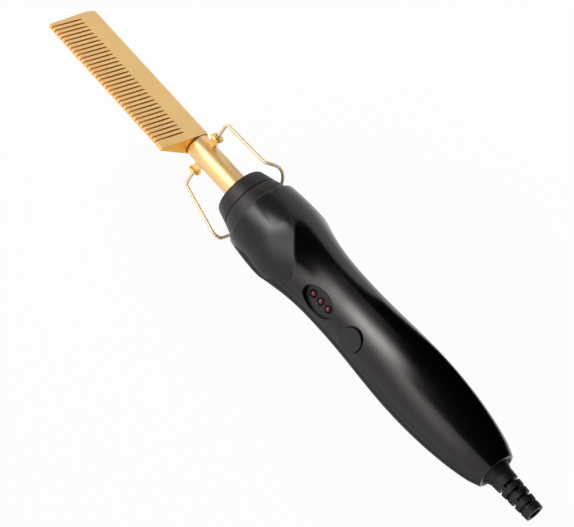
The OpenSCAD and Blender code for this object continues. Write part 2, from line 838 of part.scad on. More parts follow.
module front_shell() {
    color("#3d3836")
        difference() {
            union() {
                intersection() {
                    shell_form();
                    half_space(1);
                }
                intersection() {
                    body(1, shell_front_x - 1, cap_wall + 0.4);
                    union() {
                        for (x = SHELL_SCREWS)
                            translate([x, 0, 0.04])
                                cylinder(r = post_r, h = 20);
                        for (x = BOARD_SCREWS)
                            translate([x, 0, board_z])
                                cylinder(r = 2.4, h = 15);
                        translate([button_x, 0, sleeve_low])
                            cylinder(r = hole_r + sleeve_wall, h = 10);
                        window_sleeve();
                    }
                }
            }
            for (x = SHELL_SCREWS)
                translate([x, 0, -1])
                    cylinder(r = shell_screw_r, h = shell_screw_top + 1.5);
            for (x = BOARD_SCREWS)
                translate([x, 0, board_z - 1])
                    cylinder(r = small_screw_r, h = 5);
            translate([button_x, 0, sleeve_low - 1])
                cylinder(r = hole_r, h = 20);
            translate([button_x, 0, skin(button_x) - 0.5])
                cylinder(r1 = hole_r, r2 = hole_r + 1, h = 1);
            translate([window_x, 0, board_z + 1])
                linear_extrude(20)
                    polygon(ellipse(window_len, window_w));
        }
}

// A thin lip on the back shell overlaps the seam from inside
module seam_lip() {
    lip_x0 = core_x1 + 4;
    lip_x1 = cavity_step_x - 4;
    stations = between(lip_x0, lip_x1);
    intersection() {
        lathe(concat([for (x = stations) [x, cavity(x) + 0.3]],
            [for (i = [len(stations) - 1 : -1 : 0]) [stations[i], cavity(stations[i]) - 1]]));
        block([lip_x0 - 1, -big / 2, -2], [lip_x1 + 1, big / 2, -0.04]);
    }
    intersection() {
        lathe(concat([for (x = stations) [x, cavity(x) - 0.12]],
            [for (i = [len(stations) - 1 : -1 : 0]) [stations[i], cavity(stations[i]) - 1]]));
        block([lip_x0 - 1, -big / 2, -2], [lip_x1 + 1, big / 2, 1.5]);
    }
}

module back_shell() {
    color("#3d3836")
        difference() {
            union() {
                intersection() {
                    shell_form();
                    half_space(-1);
                }
                seam_lip();
                intersection() {
                    body(1, shell_front_x - 1, cap_wall + 0.4);
                    for (x = SHELL_SCREWS)
                        translate([x, 0, -20.04])
                            cylinder(r = post_r, h = 20);
                }
            }
            for (x = SHELL_SCREWS) {
                translate([x, 0, -10])
                    cylinder(r = shell_screw_r + 0.15, h = 12);
                translate([x, 0, shell_head_z - 20])
                    cylinder(r = shell_head_r + 0.2, h = 20);
            }
        }
}

module shell_screws() {
    color("silver")
        for (x = SHELL_SCREWS)
            translate([x, 0, shell_head_z])
                difference() {
                    union() {
                        cylinder(r = shell_screw_r, h = shell_screw_top - shell_head_z);
                        translate([0, 0, -shell_head_t])
                            cylinder(r = shell_head_r, h = shell_head_t);
                    }
                    for (turn = [0, 90])
                        rotate([0, 0, turn])
                            translate([-1.3, -0.3, -shell_head_t - 1])
                                cube([2.6, 0.6, 1.9]);
                }
}

// ---- Controls ------------------------------------------------------------

module window_panel() {
    fit = 0.1;
    color("#20241f")
        difference() {
            translate([window_x, 0, panel_z - panel_t])
                linear_extrude(panel_t)
                    polygon(ellipse(window_len - 2 * fit, window_w - 2 * fit));
            for (x = LED_PLACES)
                translate([x, 0, panel_z - 3])
                    cylinder(r = led_r + fit, h = 5);
        }
}

led_flange_r = 1.85;
led_flange_t = 1;
module led(x) {
    color("darkred")
        translate([x, 0, board_z])
            union() {
                cylinder(r = led_flange_r, h = led_flange_t);
                cylinder(r = led_r, h = led_top_z - board_z - led_r);
                translate([0, 0, led_top_z - board_z - led_r])
                    sphere(r = led_r);
            }
}

module led_front() {
    led(LED_PLACES[2]);
}

module led_middle() {
    led(LED_PLACES[1]);
}

module led_rear() {
    led(LED_PLACES[0]);
}

module led_holder() {
    half_len = led_pitch + 2.6;
    half_w = 2.9;
    color("#111111")
        difference() {
            block([window_x - half_len, -half_w, board_z], [window_x + half_len, half_w, panel_z - panel_t]);
            for (x = LED_PLACES) {
                translate([x, 0, board_z - 1])
                    cylinder(r = led_r + 0.1, h = 10);
                translate([x, 0, board_z - 1])
                    cylinder(r = led_flange_r + 0.1, h = led_flange_t + 1.2);
            }
        }
}

module button_cap() {
    roof_t = 1.4;
    dish_r = 30;
    dish_depth = 0.2;
    room_r = hole_r - 0.9;
    flange_top = sleeve_low - 0.06;
    color("#262423")
        difference() {
            union() {
                translate([button_x, 0, flange_top - button_flange_t])
                    cylinder(r = button_flange_r, h = button_flange_t);
                translate([button_x, 0, flange_top - button_flange_t])
                    cylinder(r = button_r, h = button_top - flange_top + button_flange_t);
            }
            translate([button_x, 0, 0])
                rotate_extrude()
                    polygon([[1.5, 0], [1.5, button_top - roof_t], [room_r, button_top - roof_t],
                        [room_r, 0]]);
            translate([button_x, 0, 0])
                cylinder(r = 3, h = plunger_top);
            translate([button_x, 0, button_top - dish_depth + dish_r])
                sphere(r = dish_r);
        }
}

module switch_plunger() {
    color("#1a1a1a")
        translate([button_x, 0, switch_top - 1.3])
            cylinder(r = plunger_r, h = plunger_top - switch_top + 1.3);
}

module switch_body() {
    color("gray")
        difference() {
            block([button_x - switch_w / 2, -switch_w / 2, board_z],
                [button_x + switch_w / 2, switch_w / 2, switch_top]);
            translate([button_x, 0, switch_top - 2.1])
                cylinder(r = plunger_r + 0.05, h = 3);
        }
}

// ---- Circuit board -------------------------------------------------------

module circuit_board() {
    color("darkgreen")
        difference() {
            block([board_x0, -board_y, board_low], [board_x1, board_y, board_z]);
            for (x = BOARD_SCREWS)
                translate([x, 0, board_low - 1])
                    cylinder(r = small_screw_r + 0.2, h = 5);
        }
}

module board_screws() {
    color("silver")
        for (x = BOARD_SCREWS) {
            translate([x, 0, board_low - 1.2])
                cylinder(r = 1.8, h = 1.2);
            translate([x, 0, board_low])
                cylinder(r = small_screw_r, h = board_t + 3.9);
        }
}

control_x = (button_x + window_x) / 2 - 1.4;
module control_chip() {
    color("#1c1c1c")
        block([control_x - 2, -2.5, board_z], [control_x + 2, 2.5, board_z + 1.5]);
}

module triac() {
    x = board_x1 - 14;
    color("#222222")
        union() {
            block([x, -1.5, board_low - 9.5], [x + 4.6, 8.5, board_low - 1.5]);
            for (y = [1, 3.5, 6])
                block([x + 1.8, y - 0.4, board_low - 2], [x + 2.6, y + 0.4, board_low]);
        }
}

module film_capacitor() {
    x = board_x0 + 26;
    color("gold")
        block([x, -8, board_low - 9.6], [x + 12, -2.4, board_low]);
}

module smoothing_capacitor() {
    color("navy")
        translate([board_x0 + 14, -4, board_low - 10.5])
            cylinder(r = 4, h = 10.5);
}

module resistors() {
    r = 1.1;
    color("peru")
        for (i = [0 : 2])
            translate([0, 1.4 + 2.7 * i, board_low - r])
                rod_x(board_x0 + 27, board_x0 + 34, r);
}

module rectifier_diodes() {
    color("#2b2b2b")
        for (i = [0 : 3])
            block([board_x0 + 5 + 5 * i, 5, board_low - 2], [board_x0 + 8 + 5 * i, 8, board_low]);
}

// ---- Swivelling cord boot ------------------------------------------------

flex_first_x = -boot_cone_len - flex_start;
function boot_r(x) = boot_step_r
    + (boot_end_r - boot_step_r) * (-x - boot_cone_len) / (boot_len - boot_cone_len);

module cord_boot() {
    mouth_r = journal_r - 0.4;
    inner_wall = 1.1;
    color("#2a2a2c")
        difference() {
            lathe([[core_x1 - core_len, core_bore_r], [boot_flange_x + boot_flange_t, boot_flange_r],
                [boot_flange_x, boot_flange_r], [boot_flange_x, journal_r], [0.9, journal_r],
                [0.3, mouth_r], [-boot_cone_len, boot_step_r - boot_ledge],
                [-boot_cone_len, boot_step_r],
                [-boot_len, boot_end_r], [-boot_len, cord_hole_r],
                [cord_stop_x, cord_hole_r], [cord_stop_x, core_bore_r]]);
            for (i = [0 : flex_count - 1]) {
                x = flex_first_x - i * flex_pitch;
                for (side = [0, 180])
                    rotate([i % 2 == 0 ? side + 90 : side, 0, 0])
                        difference() {
                            block([x - flex_w / 2, -8, 0.75], [x + flex_w / 2, 8, 8]);
                            rod_x(x - 2, x + 2, cord_hole_r + inner_wall * 0.5);
                        }
            }
        }
}

module swivel_core() {
    color("whitesmoke")
        difference() {
            rod_x(core_x1 - core_len, core_x1, core_r);
            rod_x(core_x1 - core_len - 1, core_x1 - 2, core_bore_r);
        }
}

module slip_rings() {
    color("gold")
        for (x = RINGS)
            tube_x(x, x + ring_w, ring_r, core_r);
}

module contact_block() {
    color("beige")
        block([block_x0, -block_half, block_z0], [block_x1, block_half, block_z1]);
}

module contact_springs() {
    low = ring_r + contact_gap;
    color("orange")
        for (x = RINGS)
            union() {
                block([x + 0.4, -2.5, low], [x + ring_w - 0.4, 2.5, low + contact_t]);
                block([x + 0.4, 1.9, low], [x + ring_w - 0.4, 2.5, block_z0]);
            }
}

module supply_leads() {
    z = block_z0 + 0.9;
    color("saddlebrown")
        for (side = [-1, 1])
            wire(rounded([[block_x1 + 0.02, side * 2.6, z], [block_x1 + 4, side * 2.6, z],
                [SHELL_SCREWS[0] + 5, side * 6, z], [board_x0 - 7, side * 6, z],
                [board_x0 - 0.02, side * 6, board_z - board_t / 2]], 3, 2), lead_r, 8, [0, 1, 0.2]);
}

// ---- Assembly ------------------------------------------------------------

place() comb_head();
place() barrel_tube();
place() stand_lug_right();
place() stand_lug_left();
place() wire_stand();
place() heater_cartridge();
place() insulating_film();
place() heater_electrodes();
place() ceramic_elements();
place() temperature_sensor();
place() heater_leads();
place() sensor_leads();
place() lead_sleeve();
place() thermal_fuse();
place() barrel_flange();
place() heat_washer();
place() flange_screws();
place() front_collar();
place() rear_collar();
place() nose_cap();
place() front_shell();
place() back_shell();
place() shell_screws();
place() window_panel();
place() led_front();
place() led_middle();
place() led_rear();
place() led_holder();
place() button_cap();
place() switch_plunger();
place() switch_body();
place() circuit_board();
place() board_screws();
place() control_chip();
place() triac();
place() film_capacitor();
place() smoothing_capacitor();
place() resistors();
place() rectifier_diodes();
place() cord_boot();
place() swivel_core();
place() slip_rings();
place() contact_block();
place() contact_springs();
place() supply_leads();
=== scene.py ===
"""Electric hot comb: fine surfaces, materials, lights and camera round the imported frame.

Sizes are in millimetres in the handle's own frame: x along the handle's axis from its
cord end, z towards the comb's teeth. mm() turns such a point into the frame's metres.
"""
import json
import math

import bmesh
import bpy
from mathutils import Matrix, Vector
from mathutils.bvhtree import BVHTree


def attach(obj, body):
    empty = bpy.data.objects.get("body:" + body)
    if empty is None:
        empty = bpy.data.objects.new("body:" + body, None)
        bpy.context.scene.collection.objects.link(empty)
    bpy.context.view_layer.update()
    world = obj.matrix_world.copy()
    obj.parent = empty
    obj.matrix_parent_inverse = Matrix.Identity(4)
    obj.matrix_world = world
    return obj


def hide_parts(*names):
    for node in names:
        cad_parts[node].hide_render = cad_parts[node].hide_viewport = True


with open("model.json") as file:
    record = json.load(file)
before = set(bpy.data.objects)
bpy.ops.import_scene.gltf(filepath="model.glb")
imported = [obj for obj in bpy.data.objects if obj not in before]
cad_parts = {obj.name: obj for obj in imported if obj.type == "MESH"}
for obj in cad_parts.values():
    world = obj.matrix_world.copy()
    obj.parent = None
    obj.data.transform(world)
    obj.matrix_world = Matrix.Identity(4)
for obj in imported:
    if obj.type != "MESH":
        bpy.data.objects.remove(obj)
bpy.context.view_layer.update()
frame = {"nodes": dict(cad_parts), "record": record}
NODES = frame["nodes"]

# ---- Sizes --------------------------------------------------------------------
# As in the part's source, but for the neck's curve (NECK_R, NECK_X and NOSE_LATENESS),
# which stays within 0.2 mm of the source's, and the narrower gap along the cap's edge.

HANDLE_LEN = 150.5
TAIL_R, BELLY_R, BELLY_X = 9.1, 16.2, 50.0
NECK_R, NECK_X = 14.5, 94.0
NOSE_R, NOSE_X, RIM_R = 18.35, 136.0, 17.5
TAIL_FULLNESS, NOSE_LATENESS, RIM_LATENESS = 0.78, 1.64, 2.2
SHELL_WALL, CAP_WALL, TAIL_WALL = 2.2, 1.6, 2.5
TONGUE_TIP_X, TONGUE_SIDE_X, TONGUE_POWER = 116.0, 137.0, 1.5
CAP_EDGE_R, CREASE_GAP = 1.3, 0.03
REAR_COLLAR_LEN, REAR_COLLAR_R = 7.0, 16.3
FRONT_COLLAR_LEN, FRONT_COLLAR_R = 7.6, 12.1
COLLAR_JOINT_R, COLLAR_EDGE_R, COLLAR_GROOVE = 14.2, 1.2, 0.25
BARREL_R, BARREL_BARE, BARREL_FIT = 5.6, 29.7, 0.08
COMB_LEN, BOOT_LEN = 80.4, 23.5
HINGE_BACK, WIRE_R = 6.3, 0.75
BEND_REACH, LEG_LEN, LEG_REACH, LEG_RISE, WIRE_BEND = 17.5, 26.9, 21.1, 4.85, 2.0
LOOP_R, LOOP_STEP, LOOP_LEAN, LOOP_GAP = 22.1, 2.1, 5.4, 0.95
WINDOW_X, WINDOW_LEN, WINDOW_W, WINDOW_DEPTH = 100.5, 17.5, 10.5, 2.3
LED_PITCH, LED_R = 4.76, 1.5
BUTTON_X, BUTTON_R, BUTTON_FIT = 78.5, 5.35, 0.08
JOURNAL_R, JOURNAL_FIT = 6.92, 0.08

COLLAR_JOINT_X = HANDLE_LEN + REAR_COLLAR_LEN
COLLAR_FRONT_X = COLLAR_JOINT_X + FRONT_COLLAR_LEN
COMB_X = COLLAR_FRONT_X + BARREL_BARE
COMB_END_X = COMB_X + COMB_LEN
HINGE_X = COMB_X - HINGE_BACK
MID_X = (COMB_END_X - BOOT_LEN) / 2
AXIS_HEIGHT = NOSE_R
SPIGOT_LEN, SPIGOT_R = 8.3, 13.2
SPIGOT_X = HANDLE_LEN - SPIGOT_LEN
SHELL_BACK = 1.25
SHELL_FRONT_X = HANDLE_LEN - SHELL_BACK
STEP_BACK = 3
CAVITY_STEP_X = TONGUE_TIP_X - STEP_BACK
# Within 0.05 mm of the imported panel's top
PANEL_Z = NECK_R - WINDOW_DEPTH
BARREL_HOLE_R = BARREL_R + BARREL_FIT
CREASE_ROUNDS = 40


def mm(x, y, z):
    """A point of the handle's frame, in the frame's metres."""
    return Vector(((x - MID_X) / 1000, y / 1000, (z + AXIS_HEIGHT) / 1000))


def ease(t):
    """Soft step from 0 to 1 as t goes from 0 to 1."""
    return t * t * (3 - 2 * t)


def clamp(t):
    """The nearest value to t between 0 and 1."""
    return min(1, max(0, t))


def skin(x):
    """Radius of the handle at station x."""
    if x < BELLY_X:
        fullness = (1 - (1 - max(x, 0) / BELLY_X) ** 2) ** TAIL_FULLNESS
        return TAIL_R + (BELLY_R - TAIL_R) * fullness
    if x < NECK_X:
        return BELLY_R + (NECK_R - BELLY_R) * ease((x - BELLY_X) / (NECK_X - BELLY_X))
    if x < NOSE_X:
        return NECK_R + (NOSE_R - NECK_R) * ease(
            ((x - NECK_X) / (NOSE_X - NECK_X)) ** NOSE_LATENESS)
    past = (min(x, HANDLE_LEN) - NOSE_X) / (HANDLE_LEN - NOSE_X)
    return NOSE_R + (RIM_R - NOSE_R) * past ** RIM_LATENESS


def crease_x(phi):
    """Station at which the nose cap's edge crosses the direction phi (0 is +y)."""
    x = TONGUE_TIP_X
    for _ in range(CREASE_ROUNDS):
        y = skin(x) * abs(math.cos(phi))
        x = TONGUE_TIP_X + (TONGUE_SIDE_X - TONGUE_TIP_X) * (y / NOSE_R) ** TONGUE_POWER
    return x


# ---- Camera -------------------------------------------------------------------

CAMERA_AT = (-246.7, -519.0, 888.6)
CAMERA_RIGHT = (-0.63293, -0.51929, -0.57423)
CAMERA_UP = (0.69501, -0.70789, -0.12591)
PHOTO_WIDTH_PX = 574
FOCAL_PX = 2600
SENSOR_WIDTH = 36
CLIP_START, CLIP_END = 0.05, 20

camera_data = bpy.data.cameras.new("camera")
camera_data.sensor_width = SENSOR_WIDTH
camera_data.lens = FOCAL_PX * SENSOR_WIDTH / PHOTO_WIDTH_PX
camera = bpy.data.objects.new("camera", camera_data)
bpy.context.collection.objects.link(camera)
right = Vector(CAMERA_RIGHT).normalized()
up = Vector(CAMERA_UP)
up = (up - right * up.dot(right)).normalized()
camera.matrix_world = Matrix.Translation(mm(*CAMERA_AT)) @ Matrix(
    (right, up, right.cross(up))).transposed().to_4x4()
camera_data.clip_start, camera_data.clip_end = CLIP_START, CLIP_END
bpy.context.scene.camera = camera

# ---- Materials ----------------------------------------------------------------

# Between these two values most of a noise lies
NOISE_LOW, NOISE_HIGH = 0.3, 0.7
# The roughness of a satin surface changes on so much finer a scale than its colour
ROUGHNESS_FINER = 4


class Shader:
    """A node material under construction: principled shader plus procedural inputs."""

    def __init__(self, name, **values):
        self.material = bpy.data.materials.new(name)
        self.material.use_nodes = True
        self.tree = self.material.node_tree
        self.shader = self.tree.nodes["Principled BSDF"]
        for key, value in values.items():
            self.shader.inputs[key].default_value = value

    def node(self, kind, **inputs):
        """A new node; an input's name has _ for each blank."""
        made = self.tree.nodes.new(kind)
        for key, value in inputs.items():
            made.inputs[key.replace("_", " ")].default_value = value
        return made

    def link(self, a, b):
        self.tree.links.new(a, b)

    def noise(self, scale, detail=3.0, roughness=0.55, stretch=None):
        """Fac of a noise of so many cells a metre, in the object's own frame."""
        made = self.node("ShaderNodeTexNoise", Scale=scale, Detail=detail, Roughness=roughness)
        source = self.tree.nodes.new("ShaderNodeTexCoord").outputs["Object"]
        if stretch:
            mapping = self.node("ShaderNodeMapping", Scale=stretch)
            self.link(source, mapping.inputs["Vector"])
            source = mapping.outputs["Vector"]
        self.link(source, made.inputs["Vector"])
        return made.outputs["Fac"]

    def ramp(self, fac, low, high, a=NOISE_LOW, b=NOISE_HIGH):
        """Blend from colour low to colour high as fac goes from a to b."""
        made = self.tree.nodes.new("ShaderNodeValToRGB")
        made.color_ramp.elements[0].position = a
        made.color_ramp.elements[1].position = b
        made.color_ramp.elements[0].color = (*low, 1)
        made.color_ramp.elements[1].color = (*high, 1)
        self.link(fac, made.inputs["Fac"])
        return made.outputs["Color"]

    def spread(self, fac, low, high):
        """Number from low to high as fac goes from NOISE_LOW to NOISE_HIGH."""
        made = self.node("ShaderNodeMapRange", From_Min=NOISE_LOW, From_Max=NOISE_HIGH,
                         To_Min=low, To_Max=high)
        self.link(fac, made.inputs["Value"])
        return made.outputs["Result"]

    def color(self, fac, low, high, a=NOISE_LOW, b=NOISE_HIGH):
        self.link(self.ramp(fac, low, high, a, b), self.shader.inputs["Base Color"])

    def rough(self, fac, low, high):
        self.link(self.spread(fac, low, high), self.shader.inputs["Roughness"])

    def bump(self, fac, depth_mm, strength=1.0):
        made = self.node("ShaderNodeBump", Strength=strength, Distance=depth_mm / 1000)
        self.link(fac, made.inputs["Height"])
        self.link(made.outputs["Normal"], self.shader.inputs["Normal"])


def satin(name, color, rough, spec=0.5, tint=0.12, grain=900, depth=0.012, metal=0.0,
          mottle=60, rough_play=0.05, stretch=None, **more):
    """Fine-grained surface: colour drifts slowly, roughness and relief are finer.

    mottle and grain are in cells a metre, depth is the relief in millimetres.
    """
    made = Shader(name, **{"Metallic": metal, "Specular IOR Level": spec, **more})
    low = tuple(c * (1 - tint) for c in color)
    high = tuple(min(1, c * (1 + tint)) for c in color)
    made.color(made.noise(mottle, 4), low, high)
    made.rough(made.noise(mottle * ROUGHNESS_FINER, 4), rough - rough_play,
               rough + rough_play)
    if depth:
        made.bump(made.noise(grain, 2, stretch=stretch), depth)
    return made.material


LACQUER = {"Coat Weight": 0.9, "Coat Roughness": 0.30}
WARM = {"Specular Tint": (1.0, 0.93, 0.91, 1)}
MATERIALS = {
    "barrel_metal": satin("barrel gold", (0.89, 0.58, 0.24), 0.43, tint=0.02, depth=0,
                          metal=1.0, rough_play=0.02, **LACQUER),
    "lug_metal": satin("lug gold", (0.88, 0.58, 0.17), 0.32, tint=0.03, depth=0, metal=1.0,
                       rough_play=0.03, **LACQUER),
    "stand_metal": satin("stand wire", (0.80, 0.65, 0.44), 0.60, tint=0.04, depth=0,
                         metal=1.0, rough_play=0.03),
    "handle_plastic": satin("handle satin plastic", (0.0011, 0.0008, 0.0007), 0.21, spec=0.48,
                            tint=0.10, grain=4200, depth=0.0006, rough_play=0.01, **WARM),
    "cap_plastic": satin("cap satin plastic", (0.0009, 0.0009, 0.0009), 0.22, spec=0.40,
                         tint=0.10, grain=4200, depth=0.0006, rough_play=0.01),
    "collar_plastic": satin("collar plastic", (0.0045, 0.0038, 0.0036), 0.42, spec=0.42,
                            tint=0.06, grain=3600, depth=0.003, rough_play=0.02, **WARM),
    "button_plastic": satin("button plastic", (0.0048, 0.0040, 0.0038), 0.36, spec=0.42,
                            tint=0.10, grain=2400, depth=0.008),
    "boot_rubber": satin("boot rubber", (0.0045, 0.0044, 0.0044), 0.46, spec=0.30, tint=0.12,
                         grain=1800, depth=0.012),
    # Dark brown for the ring where the barrel meets the comb: painted shadow of the gap at that
    # joint
    "joint_shadow_paint": satin("painted joint shadow", (0.20, 0.085, 0.025), 0.6, tint=0.2, metal=1.0),
    "steel": satin("zinc steel", (0.60, 0.60, 0.62), 0.32, tint=0.05, metal=1.0),
    "black_plastic": satin("black moulding", (0.012, 0.012, 0.012), 0.5, spec=0.35),
    # Near-black for the ring round each lamp: painted shade of the gap there
    "bezel_painted_shade": satin("lamp bezel painted shade", (0.0012, 0.0012, 0.0012), 0.34, spec=0.20, depth=0.002),
    "board": satin("board laminate", (0.02, 0.13, 0.05), 0.4, grain=1500, depth=0.01),
    "component": satin("component moulding", (0.03, 0.03, 0.03), 0.5, grain=2000),
    "capacitor_film": satin("capacitor case", (0.70, 0.50, 0.09), 0.3, tint=0.05),
    "capacitor_can": satin("capacitor sleeve", (0.03, 0.04, 0.20), 0.35, tint=0.08),
    "resistor_body": satin("resistor ceramic", (0.62, 0.42, 0.24), 0.5, grain=1500),
    "ceramic_heater": satin("heating ceramic", (0.13, 0.12, 0.11), 0.6, grain=1500),
    "heater_case": satin("drawn aluminium", (0.72, 0.72, 0.73), 0.35, metal=1.0,
                         stretch=(0.05, 1, 1)),
    "electrode_metal": satin("pressed sheet", (0.70, 0.70, 0.71), 0.3, metal=1.0),
    "film": satin("polyimide film", (0.62, 0.26, 0.03), 0.22, tint=0.05),
    "sensor_glass": satin("glass bead", (0.30, 0.10, 0.04), 0.12, tint=0.1),
    "wire_white": satin("white insulation", (0.72, 0.72, 0.70), 0.5, tint=0.04),
    "wire_red": satin("red insulation", (0.48, 0.03, 0.03), 0.45, tint=0.06),
    "wire_brown": satin("brown insulation", (0.13, 0.05, 0.02), 0.45, tint=0.08),
    "sleeve_glass": satin("woven glass sleeve", (0.72, 0.68, 0.54), 0.75, grain=700,
                          depth=0.06, stretch=(1, 0.3, 0.3)),
    "insulator": satin("mica", (0.55, 0.50, 0.38), 0.55, grain=1200, depth=0.02),
    "nylon": satin("nylon", (0.68, 0.68, 0.65), 0.4, tint=0.04),
    "contact_metal": satin("contact brass", (0.70, 0.48, 0.20), 0.25, metal=1.0),
}


def lamp_material():
    """Red diffusing lens with painted shading: warmer where it faces the eye, deep towards its
    edge.
    """
    made = Shader("lamp lens", **{
        "Roughness": 0.14, "Specular IOR Level": 0.5, "Coat Weight": 0.15,
        "Coat Roughness": 0.08, "Transmission Weight": 0.12})
    # Painted shading of the dome: the lighter red where it faces the eye, the deep red towards
    # its edge
    painted_lit_crown, painted_shaded_rim = (0.16, 0.0035, 0.010), (0.02, 0.0006, 0.0016)
    layer = made.node("ShaderNodeLayerWeight", Blend=0.35)
    made.color(layer.outputs["Facing"], painted_lit_crown, painted_shaded_rim, a=0.05, b=0.75)
    made.bump(made.noise(700, 2), 0.01)
    return made.material


def panel_material():
    """Dark tinted panel with sparse bright specks, painted in as tiny glints."""
    made = Shader("window panel", **{"Specular IOR Level": 0.42})
    painted_glint, ground = (0.30, 0.32, 0.28), (0.006, 0.0065, 0.0055)
    # Sparse bright specks: painted glints
    cells = made.node("ShaderNodeTexVoronoi", Scale=420.0)
    made.link(made.tree.nodes.new("ShaderNodeTexCoord").outputs["Object"],
              cells.inputs["Vector"])
    made.color(cells.outputs["Distance"], painted_glint, ground, a=0.07, b=0.12)
    made.rough(made.noise(500, 3), 0.22, 0.34)
    made.bump(made.noise(900, 3), 0.03)
    return made.material


def comb_material():
    """Satin gold, painted deeper and more orange on faces that look along the comb: painted
    bounce light from the slots and the barrel.
    """
    made = Shader("comb satin gold", **{"Metallic": 1.0})
    turned = made.node("ShaderNodeSeparateXYZ")
    made.link(made.tree.nodes.new("ShaderNodeTexCoord").outputs["Normal"],
              turned.inputs["Vector"])
    size = made.node("ShaderNodeMath")
    size.operation = "ABSOLUTE"
    made.link(turned.outputs["X"], size.inputs[0])
    side_low, side_high = (0.776, 0.514, 0.213), (0.824, 0.546, 0.227)
    # Orange on faces that look along the comb: painted reflection of light bounced in the slots
    # and off the barrel
    bounce_painted_color, least_share, most_share = (1.0, 0.57, 0.06, 1), -0.3, 0.9
    mix = made.node("ShaderNodeMixRGB", Color2=bounce_painted_color)
    made.link(made.spread(size.outputs[0], least_share, most_share), mix.inputs["Fac"])
    made.link(made.ramp(made.noise(35, 4), side_low, side_high), mix.inputs["Color1"])
    made.link(mix.outputs["Color"], made.shader.inputs["Base Color"])
    made.rough(made.noise(140, 4), 0.37, 0.47)
    return made.material


MATERIALS["comb_metal"] = comb_material()
MATERIALS["lamp_plastic"] = lamp_material()
MATERIALS["panel_plastic"] = panel_material()

# ---- Mesh tools ---------------------------------------------------------------

SHARP_ANGLE, WIRE_SHARP_ANGLE = 32, 60
ARC_STEPS, BEND_STEPS, LATHE_SIDES, WIRE_SIDES = 5, 10, 160, 20
# A corner's arc or bend takes at most this share of the edge beside it
ARC_SHARE, BEND_SHARE = 0.49, 0.45
# A point this near to the old surface (m) and facing as it did keeps its smooth normal
SAME_PLACE, SAME_WAY = 2e-6, 0.9
TINY = 1e-7


def mesh_object(name, points, faces):
    """A new object in the scene from points in metres."""
    mesh = bpy.data.meshes.new(name)
    mesh.from_pydata(points, [], faces)
    made = bpy.data.objects.new(name, mesh)
    bpy.context.collection.objects.link(made)
    return made


def shade(mesh, angle=SHARP_ANGLE):
    """Smooth shading with sharp edges where faces meet at more than angle degrees."""
    work = bmesh.new()
    work.from_mesh(mesh)
    bmesh.ops.recalc_face_normals(work, faces=work.faces)
    for face in work.faces:
        face.smooth = True
    for edge in work.edges:
        edge.smooth = not edge.is_manifold or edge.calc_face_angle(0) < math.radians(angle)
    work.to_mesh(mesh)
    work.free()


def piece(name, verts, faces, body, slot, material=None, nodes=(), angle=SHARP_ANGLE):
    """A new object from points in millimetres; it rides on body and stands for nodes."""
    made = mesh_object(name, [mm(*v) for v in verts], faces)
    made.data.validate()
    shade(made.data, angle)
    made.data.materials.append(MATERIALS[material or slot])
    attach(made, body)
    if nodes:
        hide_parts(*nodes)
    return made


def fillet(points, steps=ARC_STEPS):
    """Rounds the corners of a closed outline; each point is (x, y) or (x, y, radius)."""
    out = []
    count = len(points)
    for i, point in enumerate(points):
        here = Vector(point[:2])
        radius = point[2] if len(point) > 2 else 0
        if not radius:
            out.append(tuple(here))
            continue
        a = Vector(points[i - 1][:2]) - here
        b = Vector(points[(i + 1) % count][:2]) - here
        half = a.angle(b) / 2
        reach = min(radius / math.tan(half), a.length * ARC_SHARE, b.length * ARC_SHARE)
        r = reach * math.tan(half)
        centre = here + (a.normalized() + b.normalized()).normalized() * (r / math.sin(half))
        start = here + a.normalized() * reach - centre
        turn = start.angle_signed(here + b.normalized() * reach - centre)
        for k in range(steps + 1):
            t = -turn * k / steps
            out.append(tuple(centre + Vector((
                start.x * math.cos(t) - start.y * math.sin(t),
                start.x * math.sin(t) + start.y * math.cos(t)))))
    return out


def ring_faces(loops, size, wrap):
    """Quads between loops of size points each; wrap joins the last loop to the first."""
    faces = []
    for i in range(loops if wrap else loops - 1):
        j = (i + 1) % loops
        for k in range(size):
            m = (k + 1) % size
            faces.append((i * size + k, i * size + m, j * size + m, j * size + k))
    return faces


def lathe(name, outline, body, slot, nodes, sides=LATHE_SIDES, **more):
    """Solid of revolution about the handle's axis from a closed outline of (x, radius)."""
    verts = []
    for i in range(sides):
        t = 2 * math.pi * i / sides
        verts += [(x, r * math.cos(t), r * math.sin(t)) for x, r in outline]
    piece(name, verts, ring_faces(sides, len(outline), True), body, slot, nodes=nodes, **more)


def sweep(path, radius, sides=WIRE_SIDES):
    """Verts and faces of a round wire along a path."""
    verts, normal = [], None
    for i, point in enumerate(path):
        ahead = (path[min(i + 1, len(path) - 1)] - path[max(i - 1, 0)]).normalized()
        if normal is None:
            normal = ahead.orthogonal()
        normal = (normal - ahead * normal.dot(ahead)).normalized()
        other = ahead.cross(normal)
        for k in range(sides):
            t = 2 * math.pi * k / sides
            verts.append(tuple(point + radius * (math.cos(t) * normal + math.sin(t) * other)))
    faces = ring_faces(len(path), sides, False)
    faces.append(tuple(range(sides - 1, -1, -1)))
    faces.append(tuple(range(len(verts) - sides, len(verts))))
    return verts, faces


def soften(path, reach, steps=BEND_STEPS):
    """Replaces the corners of a path by curves that start reach away from each."""
    out = [path[0]]
    for i in range(1, len(path) - 1):
        a, b = path[i - 1] - path[i], path[i + 1] - path[i]
        start = path[i] + a.normalized() * min(reach, a.length * BEND_SHARE)
        end = path[i] + b.normalized() * min(reach, b.length * BEND_SHARE)
        for k in range(steps + 1):
            t = k / steps
            out.append((1 - t) ** 2 * start + 2 * t * (1 - t) * path[i] + t * t * end)
    return out + [path[-1]]


